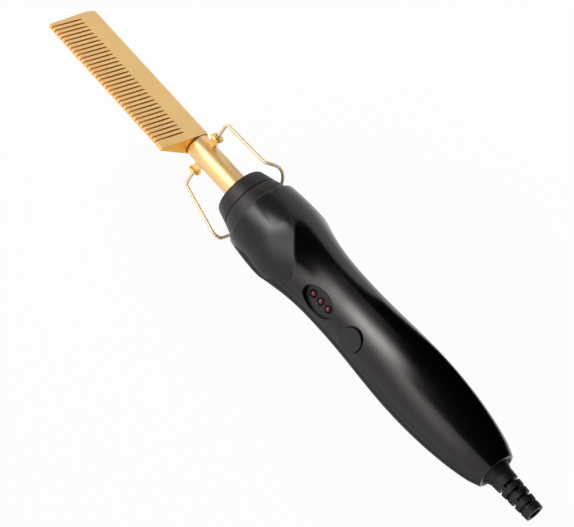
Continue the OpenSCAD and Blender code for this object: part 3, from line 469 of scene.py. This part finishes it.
def carve(target, cutters):
    """Cuts closed cutters out of target and keeps target's smooth normals on its skin."""
    source = target.data.copy()
    tree = BVHTree.FromPolygons([v.co for v in source.vertices],
                                [tuple(p.vertices) for p in source.polygons])
    for cutter in cutters:
        cut = target.modifiers.new("cut", "BOOLEAN")
        cut.operation, cut.solver, cut.object = "DIFFERENCE", "EXACT", cutter
    graph = bpy.context.evaluated_depsgraph_get()
    result = bpy.data.meshes.new_from_object(target.evaluated_get(graph))
    target.modifiers.clear()
    target.data = result
    for cutter in cutters:
        bpy.data.objects.remove(cutter)
    shade(result)
    wanted = [n.vector.copy() for n in result.corner_normals]
    for face in result.polygons:
        for index in face.loop_indices:
            corner = result.vertices[result.loops[index].vertex_index].co
            hit, _, old, gap = tree.find_nearest(corner)
            if hit is not None and gap < SAME_PLACE:
                normal = blended_normal(source, old, hit)
                if normal.dot(face.normal) > SAME_WAY:
                    wanted[index] = normal
    result.normals_split_custom_set(wanted)
    bpy.data.meshes.remove(source)


def blended_normal(mesh, index, point):
    """The smooth normal of a mesh at a point of one of its faces."""
    total = Vector()
    for v in mesh.polygons[index].vertices:
        distance = (mesh.vertices[v].co - point).length
        total += mesh.vertex_normals[v].vector / (distance + TINY)
    return total.normalized()


# ---- Handle -------------------------------------------------------------------

# Rows of points along the skin lie closer together towards the cord end
SKIN_ROWS, SKIN_CROWDING, HALF_COLUMNS = 110, 1.25, 132
# Rounded edge of a shell along the seam: how far from the seam, how far below the skin
SEAM_EDGE = [(0.04, 0.05), (0.09, 0.02), (0.16, 0.005), (0.26, 0.0)]
# That edge leaves out the outline's first points, which lie round the boot's hole
SEAM_MEAN_R, POINTS_LEFT_OUT = 15, 12
# The fold along the cap's edge, and the |cos(phi)| over which it fades out
CREASE_FADE = (0.72, 0.95)
RIDGE, RIDGE_WIDTH, RIDGE_ROUND = 0.85, 9.0, 0.10
# Rim round the boot's hole
TAIL_EDGE_R, TAIL_ROWS_IN_EDGE = 0.75, 8
LEDGE_X, LEDGE_W, LEDGE_R = 0.8, 0.5, 0.15
FUNNEL_W, FUNNEL_R = 0.95, 0.25
# Step under the nose cap
CAP_PLAY, STEP_SLOPE, STEP_DROP = 0.03, 0.3, 0.4
STEP_ROWS, CAVITY_ROWS = 12, 24
# Rounded lip of an opening: how far out of the hole, how far above the skin
LIP = [(0, -0.35), (0.04, -0.2), (0.12, -0.08), (0.26, -0.015), (0.5, 0.02), (0.9, 0.5)]
OPENING_SIDES = 96
CUT_TOP = 25
WINDOW_HOLE = (WINDOW_X, WINDOW_LEN / 2, WINDOW_W / 2)
BUTTON_HOLE = (BUTTON_X, BUTTON_R + BUTTON_FIT, BUTTON_R + BUTTON_FIT)
WINDOW_CUT_FROM, BUTTON_CUT_FROM = PANEL_Z - 1.3, 8
SLEEVE_WALL, SLEEVE_PLAY, SLEEVE_UNDER = 1.2, 0.03, 0.6
WINDOW_SLEEVE_Z, BUTTON_SLEEVE_Z = (PANEL_Z - 1.4, 13.4), (11, 14.3)


def ridge(phi, reach):
    """Height of the soft fold along the cap's edge, reach millimetres of x away from it.

    It stands highest along the tongues and fades out towards the handle's sides.
    """
    side = abs(math.cos(phi))
    low, high = CREASE_FADE
    fade = 1 - ease(clamp((side - low) / (high - low)))
    lean = TONGUE_POWER * (TONGUE_SIDE_X - TONGUE_TIP_X) / NOSE_R * math.sqrt(side)
    apart = reach / math.hypot(1, lean)
    return RIDGE * fade * max(0, 1 - apart / RIDGE_WIDTH) ** 2


def shell_outline(phi):
    """Closed outline of a shell's wall in the direction phi."""
    edge_x = crease_x(phi) - CREASE_GAP
    rows = []
    for i in range(SKIN_ROWS + 1):
        x = edge_x * (i / SKIN_ROWS) ** SKIN_CROWDING
        rows.append((x, skin(x) + ridge(phi, edge_x - x)))
    under = CAP_WALL + CAP_PLAY
    hole = JOURNAL_R + JOURNAL_FIT
    outline = [(TAIL_WALL, hole), (LEDGE_X, hole), (LEDGE_X, hole + LEDGE_W, LEDGE_R),
               (0, hole + FUNNEL_W, FUNNEL_R), (0, rows[0][1], TAIL_EDGE_R)]
    outline += rows[TAIL_ROWS_IN_EDGE:-1]
    step_x = edge_x + STEP_SLOPE
    outline += [(*rows[-1], RIDGE_ROUND), (edge_x, skin(edge_x) - under - STEP_DROP),
                (step_x, skin(step_x) - under)]
    for i in range(1, STEP_ROWS + 1):
        x = step_x + (SHELL_FRONT_X - step_x) * i / STEP_ROWS
        outline.append((x, skin(x) - under))
    for i in range(CAVITY_ROWS + 1):
        x = SHELL_FRONT_X + (TAIL_WALL - SHELL_FRONT_X) * i / CAVITY_ROWS
        step = CAP_WALL if x > CAVITY_STEP_X else 0
        outline.append((x, skin(x) - SHELL_WALL - step))
    return fillet(outline)


def shell(name, side, node):
    """One half of the handle: wall outlines set side by side from seam to seam."""
    # (angle, distance from the seam in millimetres, how far the skin is set in there)
    columns = [(0, d, inset) for d, inset in SEAM_EDGE]
    columns += [(math.pi * i / HALF_COLUMNS, 0, 0) for i in range(1, HALF_COLUMNS)]
    columns += [(math.pi, -d, inset) for d, inset in reversed(SEAM_EDGE)]
    verts = []
    for turn, from_seam, inset in columns:
        outline = shell_outline(turn + from_seam / SEAM_MEAN_R)
        skin_end = len(outline) - (CAVITY_ROWS + 1) - STEP_ROWS
        for k, (x, r) in enumerate(outline):
            angle = turn + from_seam / r
            if POINTS_LEFT_OUT < k < skin_end:
                r -= inset
            verts.append((x, r * math.cos(angle), side * r * math.sin(angle)))
    size = len(verts) // len(columns)
    faces = ring_faces(len(columns), size, False)
    faces.append(tuple(range(size)))
    faces.append(tuple(range(len(verts) - 1, len(verts) - size - 1, -1)))
    return piece(name, verts, faces, "main", "handle_plastic", nodes=(node,))


def oval(hole, grow):
    """Points (x, y, height of the skin there) round a hole, set out from it by grow."""
    x0, half_x, half_y = hole
    points = []
    for i in range(OPENING_SIDES):
        t = 2 * math.pi * i / OPENING_SIDES
        x, y = x0 + (half_x + grow) * math.cos(t), (half_y + grow) * math.sin(t)
        points.append((x, y, math.sqrt(skin(x) ** 2 - y * y)))
    return points


def opening(name, hole, low):
    """Cutter for a hole through the front shell, with a rounded lip that follows it."""
    verts = [(x, y, low) for x, y, _ in oval(hole, LIP[0][0])]
    for grow, lift in LIP:
        verts += [(x, y, top + lift) for x, y, top in oval(hole, grow)]
    verts += [(x, y, CUT_TOP) for x, y, _ in oval(hole, LIP[-1][0])]
    faces = ring_faces(len(LIP) + 2, OPENING_SIDES, False)
    faces.append(tuple(range(OPENING_SIDES)))
    faces.append(tuple(range(len(verts) - OPENING_SIDES, len(verts))))
    made = mesh_object(name, [mm(*v) for v in verts], faces)
    shade(made.data)
    return made


front = shell("handle_front", 1, "front_shell")
carve(front, [opening("window_cut", WINDOW_HOLE, WINDOW_CUT_FROM),
              opening("button_cut", BUTTON_HOLE, BUTTON_CUT_FROM)])
shell("handle_back", -1, "back_shell")


def sleeve(name, hole, low, high):
    """The sleeve that lines an opening, from below the panel up into the wall."""
    verts = []
    for grow, z in ((SLEEVE_PLAY, low), (SLEEVE_PLAY, high),
                    (SLEEVE_WALL, high), (SLEEVE_WALL, low)):
        verts += [(x, y, min(z, top - SLEEVE_UNDER)) for x, y, top in oval(hole, grow)]
    piece(name, verts, ring_faces(4, OPENING_SIDES, True), "main", "handle_plastic")


sleeve("window_sleeve", WINDOW_HOLE, *WINDOW_SLEEVE_Z)
sleeve("button_sleeve", BUTTON_HOLE, *BUTTON_SLEEVE_Z)

CAP_SIDES, CAP_ROWS, CAP_INNER_ROWS = 288, 44, 10
CAP_ROUND, CAP_SHOULDER = CAP_EDGE_R * 0.4, CAP_EDGE_R * 1.2
CAP_SEAT_PLAY, CAP_END_PLAY, CAP_EDGE_STEP = 0.1, 0.05, 0.3


def nose_cap():
    """The cap: its tongues end in a rounded edge just proud of the shells."""
    seat_x, seat_r = SHELL_FRONT_X + CAP_END_PLAY, SPIGOT_R + CAP_SEAT_PLAY
    verts = []
    for c in range(CAP_SIDES):
        phi = 2 * math.pi * c / CAP_SIDES
        edge_x = crease_x(phi)
        outline = [(edge_x, skin(edge_x) - CAP_WALL),
                   (edge_x, skin(edge_x) + ridge(phi, 0), RIDGE_ROUND)]
        first_x, last_x = edge_x + CAP_EDGE_STEP, HANDLE_LEN - CAP_SHOULDER
        for i in range(1, CAP_ROWS):
            x = first_x + (last_x - first_x) * i / CAP_ROWS
            outline.append((x, skin(x) + ridge(phi, x - edge_x)))
        outline += [(HANDLE_LEN, skin(HANDLE_LEN), CAP_ROUND), (HANDLE_LEN, seat_r),
                    (seat_x, seat_r), (seat_x, skin(SHELL_FRONT_X) - CAP_WALL)]
        for i in range(1, CAP_INNER_ROWS):
            x = SHELL_FRONT_X + (edge_x - SHELL_FRONT_X) * i / CAP_INNER_ROWS
            outline.append((x, skin(x) - CAP_WALL))
        verts += [(x, r * math.cos(phi), r * math.sin(phi)) for x, r in fillet(outline)]
    size = len(verts) // CAP_SIDES
    piece("nose_cap_shell", verts, ring_faces(CAP_SIDES, size, True), "main",
          "cap_plastic", nodes=("nose_cap",))


nose_cap()

BEZEL_FIT, BEZEL_W, BEZEL_SUNK, BEZEL_PROUD, BEZEL_SIDES = 0.04, 0.55, 0.3, 0.2, 64
INNER_BEVEL, INNER_BEVEL_R, OUTER_BEVEL, OUTER_BEVEL_R, BEVEL_STEPS = 0.12, 0.05, 0.1, 0.08, 3


def bezel(name, x0):
    """A flat ring round the lamp at x0, standing a little proud of the panel; the ring is real,
    its near-black is painted shade of the gap round the lamp.
    """
    inner, outer = LED_R + BEZEL_FIT, LED_R + BEZEL_W
    low, high = PANEL_Z - BEZEL_SUNK, PANEL_Z + BEZEL_PROUD
    outline = fillet([(inner, low), (inner, high - INNER_BEVEL),
                      (inner + INNER_BEVEL, high, INNER_BEVEL_R),
                      (outer - OUTER_BEVEL, high, OUTER_BEVEL_R), (outer, low)], BEVEL_STEPS)
    verts = []
    for i in range(BEZEL_SIDES):
        t = 2 * math.pi * i / BEZEL_SIDES
        verts += [(x0 + r * math.cos(t), r * math.sin(t), z) for r, z in outline]
    piece(name, verts, ring_faces(BEZEL_SIDES, len(outline), True), "main", "black_plastic",
          material="bezel_painted_shade")


for name, shift in (("front", 1), ("middle", 0), ("rear", -1)):
    bezel("lamp_bezel_" + name, WINDOW_X + shift * LED_PITCH)

# ---- Collars ------------------------------------------------------------------

FLANGE_DEPTH, POCKET_R = 1.5, 10.4
HEEL_LEN, HEEL_R = 2, 14
PLUG_R, PLUG_REACH, PLUG_FIT, PLUG_END_GAP = 9.0, 4.5, 0.03, 0.1
REAR_EDGE_R, GROOVE_EDGE_R, HOLE_EDGE_R, GROOVE_STEP = 0.35, 0.3, 0.2, 0.1
seat_x = HANDLE_LEN - FLANGE_DEPTH
plug_x = COLLAR_JOINT_X + PLUG_REACH
rear_face = COLLAR_JOINT_X - COLLAR_GROOVE / 2
front_face = COLLAR_JOINT_X + COLLAR_GROOVE / 2
lathe("rear_collar_ring", fillet([
    (SPIGOT_X, POCKET_R), (SPIGOT_X, HEEL_R), (SPIGOT_X + HEEL_LEN, HEEL_R),
    (SPIGOT_X + HEEL_LEN, SPIGOT_R), (HANDLE_LEN, SPIGOT_R),
    (HANDLE_LEN, REAR_COLLAR_R, REAR_EDGE_R),
    (rear_face, COLLAR_JOINT_R + GROOVE_STEP, GROOVE_EDGE_R), (rear_face, PLUG_R),
    (plug_x, PLUG_R), (plug_x, BARREL_HOLE_R),
    (seat_x, BARREL_HOLE_R), (seat_x, POCKET_R)]), "main", "collar_plastic", ("rear_collar",))
lathe("front_collar_ring", fillet([
    (front_face, PLUG_R + PLUG_FIT), (front_face, COLLAR_JOINT_R, GROOVE_EDGE_R),
    (COLLAR_FRONT_X, FRONT_COLLAR_R, COLLAR_EDGE_R),
    (COLLAR_FRONT_X, BARREL_HOLE_R, HOLE_EDGE_R), (plug_x + PLUG_END_GAP, BARREL_HOLE_R),
    (plug_x + PLUG_END_GAP, PLUG_R + PLUG_FIT)]), "main", "collar_plastic", ("front_collar",))

# Ring where the barrel meets the comb, in dark brown: painted shadow of the gap at that joint
JOINT_SHADE_FROM, JOINT_SHADE_SLOPE, JOINT_SHADE_TO = COMB_X - 0.42, 0.12, COMB_X - 0.02
JOINT_SHADE_PROUD, JOINT_SHADE_TOE, JOINT_SHADE_SUNK = 0.14, 0.01, 0.2
JOINT_SHADE_BACK_R, JOINT_SHADE_FRONT_R = 0.08, 0.05
lathe("barrel_joint_shadow", fillet([
    (JOINT_SHADE_FROM, BARREL_R + JOINT_SHADE_TOE),
    (JOINT_SHADE_FROM + JOINT_SHADE_SLOPE, BARREL_R + JOINT_SHADE_PROUD, JOINT_SHADE_BACK_R),
    (JOINT_SHADE_TO, BARREL_R + JOINT_SHADE_PROUD, JOINT_SHADE_FRONT_R), (JOINT_SHADE_TO, BARREL_R - JOINT_SHADE_SUNK),
    (JOINT_SHADE_FROM, BARREL_R - JOINT_SHADE_SUNK)]), "main", "barrel_metal", (), material="joint_shadow_paint")

# ---- Wire stand ---------------------------------------------------------------

LEG_END_X = HINGE_X - LEG_LEN
LOOP_Z = LOOP_R - WIRE_R - LOOP_GAP - COLLAR_JOINT_R
LOOP_LIFT, LOOP_POINTS, LOOP_ENDS_CUT = 9.5, 72, 3
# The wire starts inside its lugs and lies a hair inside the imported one's surface
PIN_SUNK, WIRE_UNDER = 1, 0.012


def leg(side):
    """A leg of the stand from its pin to its far end."""
    return [Vector(p) for p in (
        (HINGE_X, side * (BARREL_R + PIN_SUNK), 0),
        (HINGE_X, side * BEND_REACH, 0),
        (LEG_END_X, side * LEG_REACH, LEG_RISE))]


def loop_point(share):
    """Point of the loop that goes round the handle's back, share of the way along it."""
    a = math.radians(LOOP_LIFT + (180 - 2 * LOOP_LIFT) * share)
    drop = LOOP_R * math.sin(a)
    return Vector((LEG_END_X - LOOP_STEP - drop * math.tan(math.radians(LOOP_LEAN)),
                   LOOP_R * math.cos(a), LOOP_Z - drop))


arc = [loop_point(i / LOOP_POINTS)
       for i in range(LOOP_ENDS_CUT, LOOP_POINTS - LOOP_ENDS_CUT + 1)]
lead_in = soften(leg(1) + [loop_point(0), arc[0]], WIRE_BEND)
lead_out = soften([arc[-1], loop_point(1)] + leg(-1)[::-1], WIRE_BEND)
verts, faces = sweep(lead_in[:-1] + arc + lead_out[1:], WIRE_R - WIRE_UNDER)
piece("stand_wire", verts, faces, "stand", "stand_metal", nodes=("wire_stand",),
      angle=WIRE_SHARP_ANGLE)

# ---- Carried-over solids ------------------------------------------------------

# Widths in millimetres of the small bevels that catch the light
EDGES = {
    "comb_head": 0.10, "barrel_tube": 0.12, "stand_lug_right": 0.12, "stand_lug_left": 0.12,
    "cord_boot": 0.14, "button_cap": 0.16, "window_panel": 0.08,
}
BEVEL_FROM_ANGLE, BEVEL_SEGMENTS = 40, 2
LOOKS = {"stand_lug_right": "lug_metal", "stand_lug_left": "lug_metal"}
slots = {part["node"]: part["material_slot"] for part in frame["record"]["subparts"]}
for name, solid in NODES.items():
    material = MATERIALS[LOOKS.get(name, slots[name])]
    solid.data.materials.clear()
    solid.data.materials.append(material)
    if name in EDGES:
        edge = solid.modifiers.new("edge", "BEVEL")
        edge.width = EDGES[name] / 1000
        edge.segments = BEVEL_SEGMENTS
        edge.limit_method = "ANGLE"
        edge.angle_limit = math.radians(BEVEL_FROM_ANGLE)
        edge.harden_normals = False

# ---- Floor and world ----------------------------------------------------------

# Low enough that the stand stays in view when it swings down past the handle
FLOOR_HALF, FLOOR_Z = 6.0, -0.045
FLOOR_GREY, FLOOR_WHITE_SHARE, WORLD_LEVEL = 0.86, 0.94, 0.60


def grey(brightness):
    """A grey as a colour without see-through."""
    return (brightness, brightness, brightness, 1)


def seen_rays(tree):
    """1 for camera, glossy and transmission rays, 0 for the ones that light things."""
    path = tree.nodes.new("ShaderNodeLightPath")
    seen = path.outputs["Is Camera Ray"]
    for kind in ("Is Glossy Ray", "Is Transmission Ray"):
        either = tree.nodes.new("ShaderNodeMath")
        either.operation = "MAXIMUM"
        tree.links.new(seen, either.inputs[0])
        tree.links.new(path.outputs[kind], either.inputs[1])
        seen = either.outputs[0]
    return seen


def mixed(tree, share, first, second):
    """A mix of two shader outputs: share 0 gives the first, 1 the second."""
    mix = tree.nodes.new("ShaderNodeMixShader")
    tree.links.new(share, mix.inputs[0])
    tree.links.new(first, mix.inputs[1])
    tree.links.new(second, mix.inputs[2])
    return mix.outputs[0]


def bright_to_eye(tree, lit, share):
    """Mixes white into what camera, glossy and transmission rays see of a surface."""
    scale = tree.nodes.new("ShaderNodeMath")
    scale.operation = "MULTIPLY"
    scale.inputs[1].default_value = share
    tree.links.new(seen_rays(tree), scale.inputs[0])
    white = tree.nodes.new("ShaderNodeEmission")
    white.inputs["Color"].default_value = grey(1)
    return mixed(tree, scale.outputs[0], lit, white.outputs[0])


def white_paper():
    """Paper that looks white to the eye, takes shadows and is clear from below."""
    paper = bpy.data.materials.new("white paper")
    paper.use_nodes = True
    tree = paper.node_tree
    tree.nodes.remove(tree.nodes["Principled BSDF"])
    matte = tree.nodes.new("ShaderNodeBsdfDiffuse")
    matte.inputs["Color"].default_value = grey(FLOOR_GREY)
    clear = tree.nodes.new("ShaderNodeBsdfTransparent")
    below = tree.nodes.new("ShaderNodeNewGeometry").outputs["Backfacing"]
    top = bright_to_eye(tree, matte.outputs[0], FLOOR_WHITE_SHARE)
    tree.links.new(mixed(tree, below, top, clear.outputs[0]),
                   tree.nodes["Material Output"].inputs["Surface"])
    return paper


floor = mesh_object("floor", [(-FLOOR_HALF, -FLOOR_HALF, FLOOR_Z),
                              (FLOOR_HALF, -FLOOR_HALF, FLOOR_Z),
                              (FLOOR_HALF, FLOOR_HALF, FLOOR_Z),
                              (-FLOOR_HALF, FLOOR_HALF, FLOOR_Z)], [(0, 1, 2, 3)])
floor.data.materials.append(white_paper())

world = bpy.data.worlds.new("studio")
bpy.context.scene.world = world
world.use_nodes = True
tree = world.node_tree
dim = tree.nodes["Background"]
dim.inputs["Color"].default_value = grey(WORLD_LEVEL)
white = tree.nodes.new("ShaderNodeBackground")
white.inputs["Color"].default_value = grey(1)
tree.links.new(mixed(tree, seen_rays(tree), dim.outputs[0], white.outputs[0]),
               tree.nodes["World Output"].inputs["Surface"])

# ---- Flags and cards, which only reflections show -------------------------------

# Upright ones stand beside the handle on either side. Level ones lie just above the
# height of the handle's lowest point, the cards a little above the flag.
RIGHT_Y, LEFT_Y, GROUND_Z, CARD_LIFT = -250, 300, -18, 0.1


def upright(y, points):
    """Corners in the upright plane at y, each given as (x, z)."""
    return [(x, y, z) for x, z in points]


def level(z, points):
    """Corners in the level plane at z, each given as (x, y)."""
    return [(x, y, z) for x, y in points]


def only_in_reflections(made):
    """Hides an object from all but glossy rays."""
    made.visible_camera = made.visible_diffuse = made.visible_shadow = False
    made.visible_transmission = made.visible_volume_scatter = False


def glossy_card(name, corners, brightness):
    """A flat black flag, or a card that shines with a grey of its own."""
    look = bpy.data.materials.new(name)
    look.use_nodes = True
    shader = look.node_tree.nodes["Principled BSDF"]
    shader.inputs["Base Color"].default_value = grey(0)
    shader.inputs["Specular IOR Level"].default_value = 0
    shader.inputs["Emission Color"].default_value = grey(brightness)
    shader.inputs["Emission Strength"].default_value = 1 if brightness else 0
    card = mesh_object(name, [mm(*corner) for corner in corners],
                       [tuple(range(len(corners)))])
    card.data.materials.append(look)
    only_in_reflections(card)


glossy_card("flag_side", upright(RIGHT_Y, [
    (-2000, GROUND_Z), (178, GROUND_Z), (180, 60), (168, 180), (172, 268), (205, 400),
    (212, 480), (212, 1000), (165, 1000), (150, 500), (60, 640), (-2000, 640)]), 0)
glossy_card("flag_floor", level(GROUND_Z, [
    (-400, RIGHT_Y), (-60, -14), (55, -14), (92, -24), (112, -55), (160, -120),
    (240, RIGHT_Y)]), 0)
glossy_card("card_floor", level(GROUND_Z + CARD_LIFT, [
    (-300, 25), (158, 25), (260, LEFT_Y), (-300, LEFT_Y)]), 0.20)
glossy_card("card_barrel", level(GROUND_Z + CARD_LIFT, [
    (166, -7), (190, -7), (191, -34), (225, -190), (205, -190)]), 0.55)
glossy_card("card_left", upright(LEFT_Y, [
    (-400, GROUND_Z), (200, GROUND_Z), (200, 120), (-400, 120)]), 0.60)
glossy_card("card_right", upright(RIGHT_Y, [
    (212, GROUND_Z), (215, 90), (290, 270), (332, 430), (400, 430), (450, 300), (900, 200),
    (900, GROUND_Z)]), 0.36)

# ---- Lit cloth and lamp -----------------------------------------------------------

LAMP_TARGET = (95, 0, 0)
CLOTH_R, CLOTH_ROWS, CLOTH_COLUMNS = 1200, 60, 44
CLOTH_ALONG, CLOTH_AROUND = (-0.2, 0.98), (45, 175)

# A long soft streak over the grip: brightness at its two ends, where along it rises from
# one to the other, how its middle turns with the direction, and its spreads
STREAK_LOW, STREAK_RISE, RISE_FROM, RISE_OVER = 1.9, 0.9, 0.15, 0.17
STREAK_AROUND, STREAK_TURN, STREAK_SPREAD = 86, 82, 16
STREAK_ALONG, STREAK_ALONG_SPREAD = 0.2, 0.22
# Brightness, then middle and spread around the handle, then the same along it
HOT_SPOTS = [(16.0, 128, 13, 0.42, 0.045), (4.8, 112, 13, 0.57, 0.06),
             (3.6, 105, 14, 0.83, 0.12)]


def bell(value, middle, spread):
    """A soft hump of height 1 round middle."""
    return math.exp(-0.5 * ((value - middle) / spread) ** 2)


def silk_level(along, around):
    """Brightness of the lit cloth: a white ground, a streak and three hot spots.

    along is the direction's share along the handle, around its angle in degrees
    about the handle, from +y towards the teeth.
    """
    streak = STREAK_LOW + STREAK_RISE * ease(clamp((along - RISE_FROM) / RISE_OVER))
    total = 1 + (streak * bell(along, STREAK_ALONG, STREAK_ALONG_SPREAD) * bell(
        around, STREAK_AROUND + STREAK_TURN * max(0, along), STREAK_SPREAD))
    for strength, mid_around, spread_around, mid_along, spread_along in HOT_SPOTS:
        total += strength * bell(around, mid_around, spread_around) * bell(
            along, mid_along, spread_along)
    return total


def lit_cloth():
    """Curved cloth over the handle that shines with silk_level in reflections."""
    verts, levels = [], []
    for i in range(CLOTH_ROWS + 1):
        along = CLOTH_ALONG[0] + (CLOTH_ALONG[1] - CLOTH_ALONG[0]) * i / CLOTH_ROWS
        across = CLOTH_R * math.sqrt(1 - along * along)
        for k in range(CLOTH_COLUMNS + 1):
            around = CLOTH_AROUND[0] + (CLOTH_AROUND[1] - CLOTH_AROUND[0]) * k / CLOTH_COLUMNS
            verts.append(mm(LAMP_TARGET[0] + CLOTH_R * along,
                            across * math.cos(math.radians(around)),
                            across * math.sin(math.radians(around))))
            levels.append(silk_level(along, around))
    faces = []
    row = CLOTH_COLUMNS + 1
    for i in range(CLOTH_ROWS):
        for k in range(CLOTH_COLUMNS):
            low = i * row + k
            faces.append((low, low + 1, low + row + 1, low + row))
    cloth = mesh_object("lit_cloth", verts, faces)
    glow = cloth.data.color_attributes.new("glow", "FLOAT_COLOR", "POINT")
    for point, brightness in zip(glow.data, levels):
        point.color = grey(brightness)
    look = bpy.data.materials.new("lit_cloth")
    look.use_nodes = True
    nodes = look.node_tree.nodes
    nodes.remove(nodes["Principled BSDF"])
    source = nodes.new("ShaderNodeAttribute")
    source.attribute_name = "glow"
    shine = nodes.new("ShaderNodeEmission")
    look.node_tree.links.new(source.outputs["Color"], shine.inputs["Color"])
    look.node_tree.links.new(shine.outputs[0], nodes["Material Output"].inputs["Surface"])
    cloth.data.materials.append(look)
    only_in_reflections(cloth)


lit_cloth()

# Where the lamp stands, seen from the handle, and its measures in metres
SOFTBOX_TOWARD, SOFTBOX_DISTANCE = (0.44, -0.60, 0.67), 1.10
SOFTBOX_WIDTH, SOFTBOX_LENGTH, SOFTBOX_RADIANCE = 0.50, 0.40, 6.0


def softbox():
    """A rectangular lamp that looks at the handle, its length along the handle's axis."""
    data = bpy.data.lights.new("softbox", "AREA")
    data.shape, data.size, data.size_y = "RECTANGLE", SOFTBOX_WIDTH, SOFTBOX_LENGTH
    data.energy = SOFTBOX_RADIANCE * math.pi * SOFTBOX_WIDTH * SOFTBOX_LENGTH
    lamp = bpy.data.objects.new("softbox", data)
    bpy.context.collection.objects.link(lamp)
    lamp.visible_glossy = False
    away = Vector(SOFTBOX_TOWARD).normalized()
    handle_axis = Vector((1, 0, 0))
    length_axis = (handle_axis - away * handle_axis.dot(away)).normalized()
    place = mm(*LAMP_TARGET) + away * SOFTBOX_DISTANCE
    lamp.matrix_world = Matrix.Translation(place) @ Matrix(
        (length_axis.cross(away), length_axis, away)).transposed().to_4x4()


softbox()

bpy.context.scene.view_settings.view_transform = "Standard"
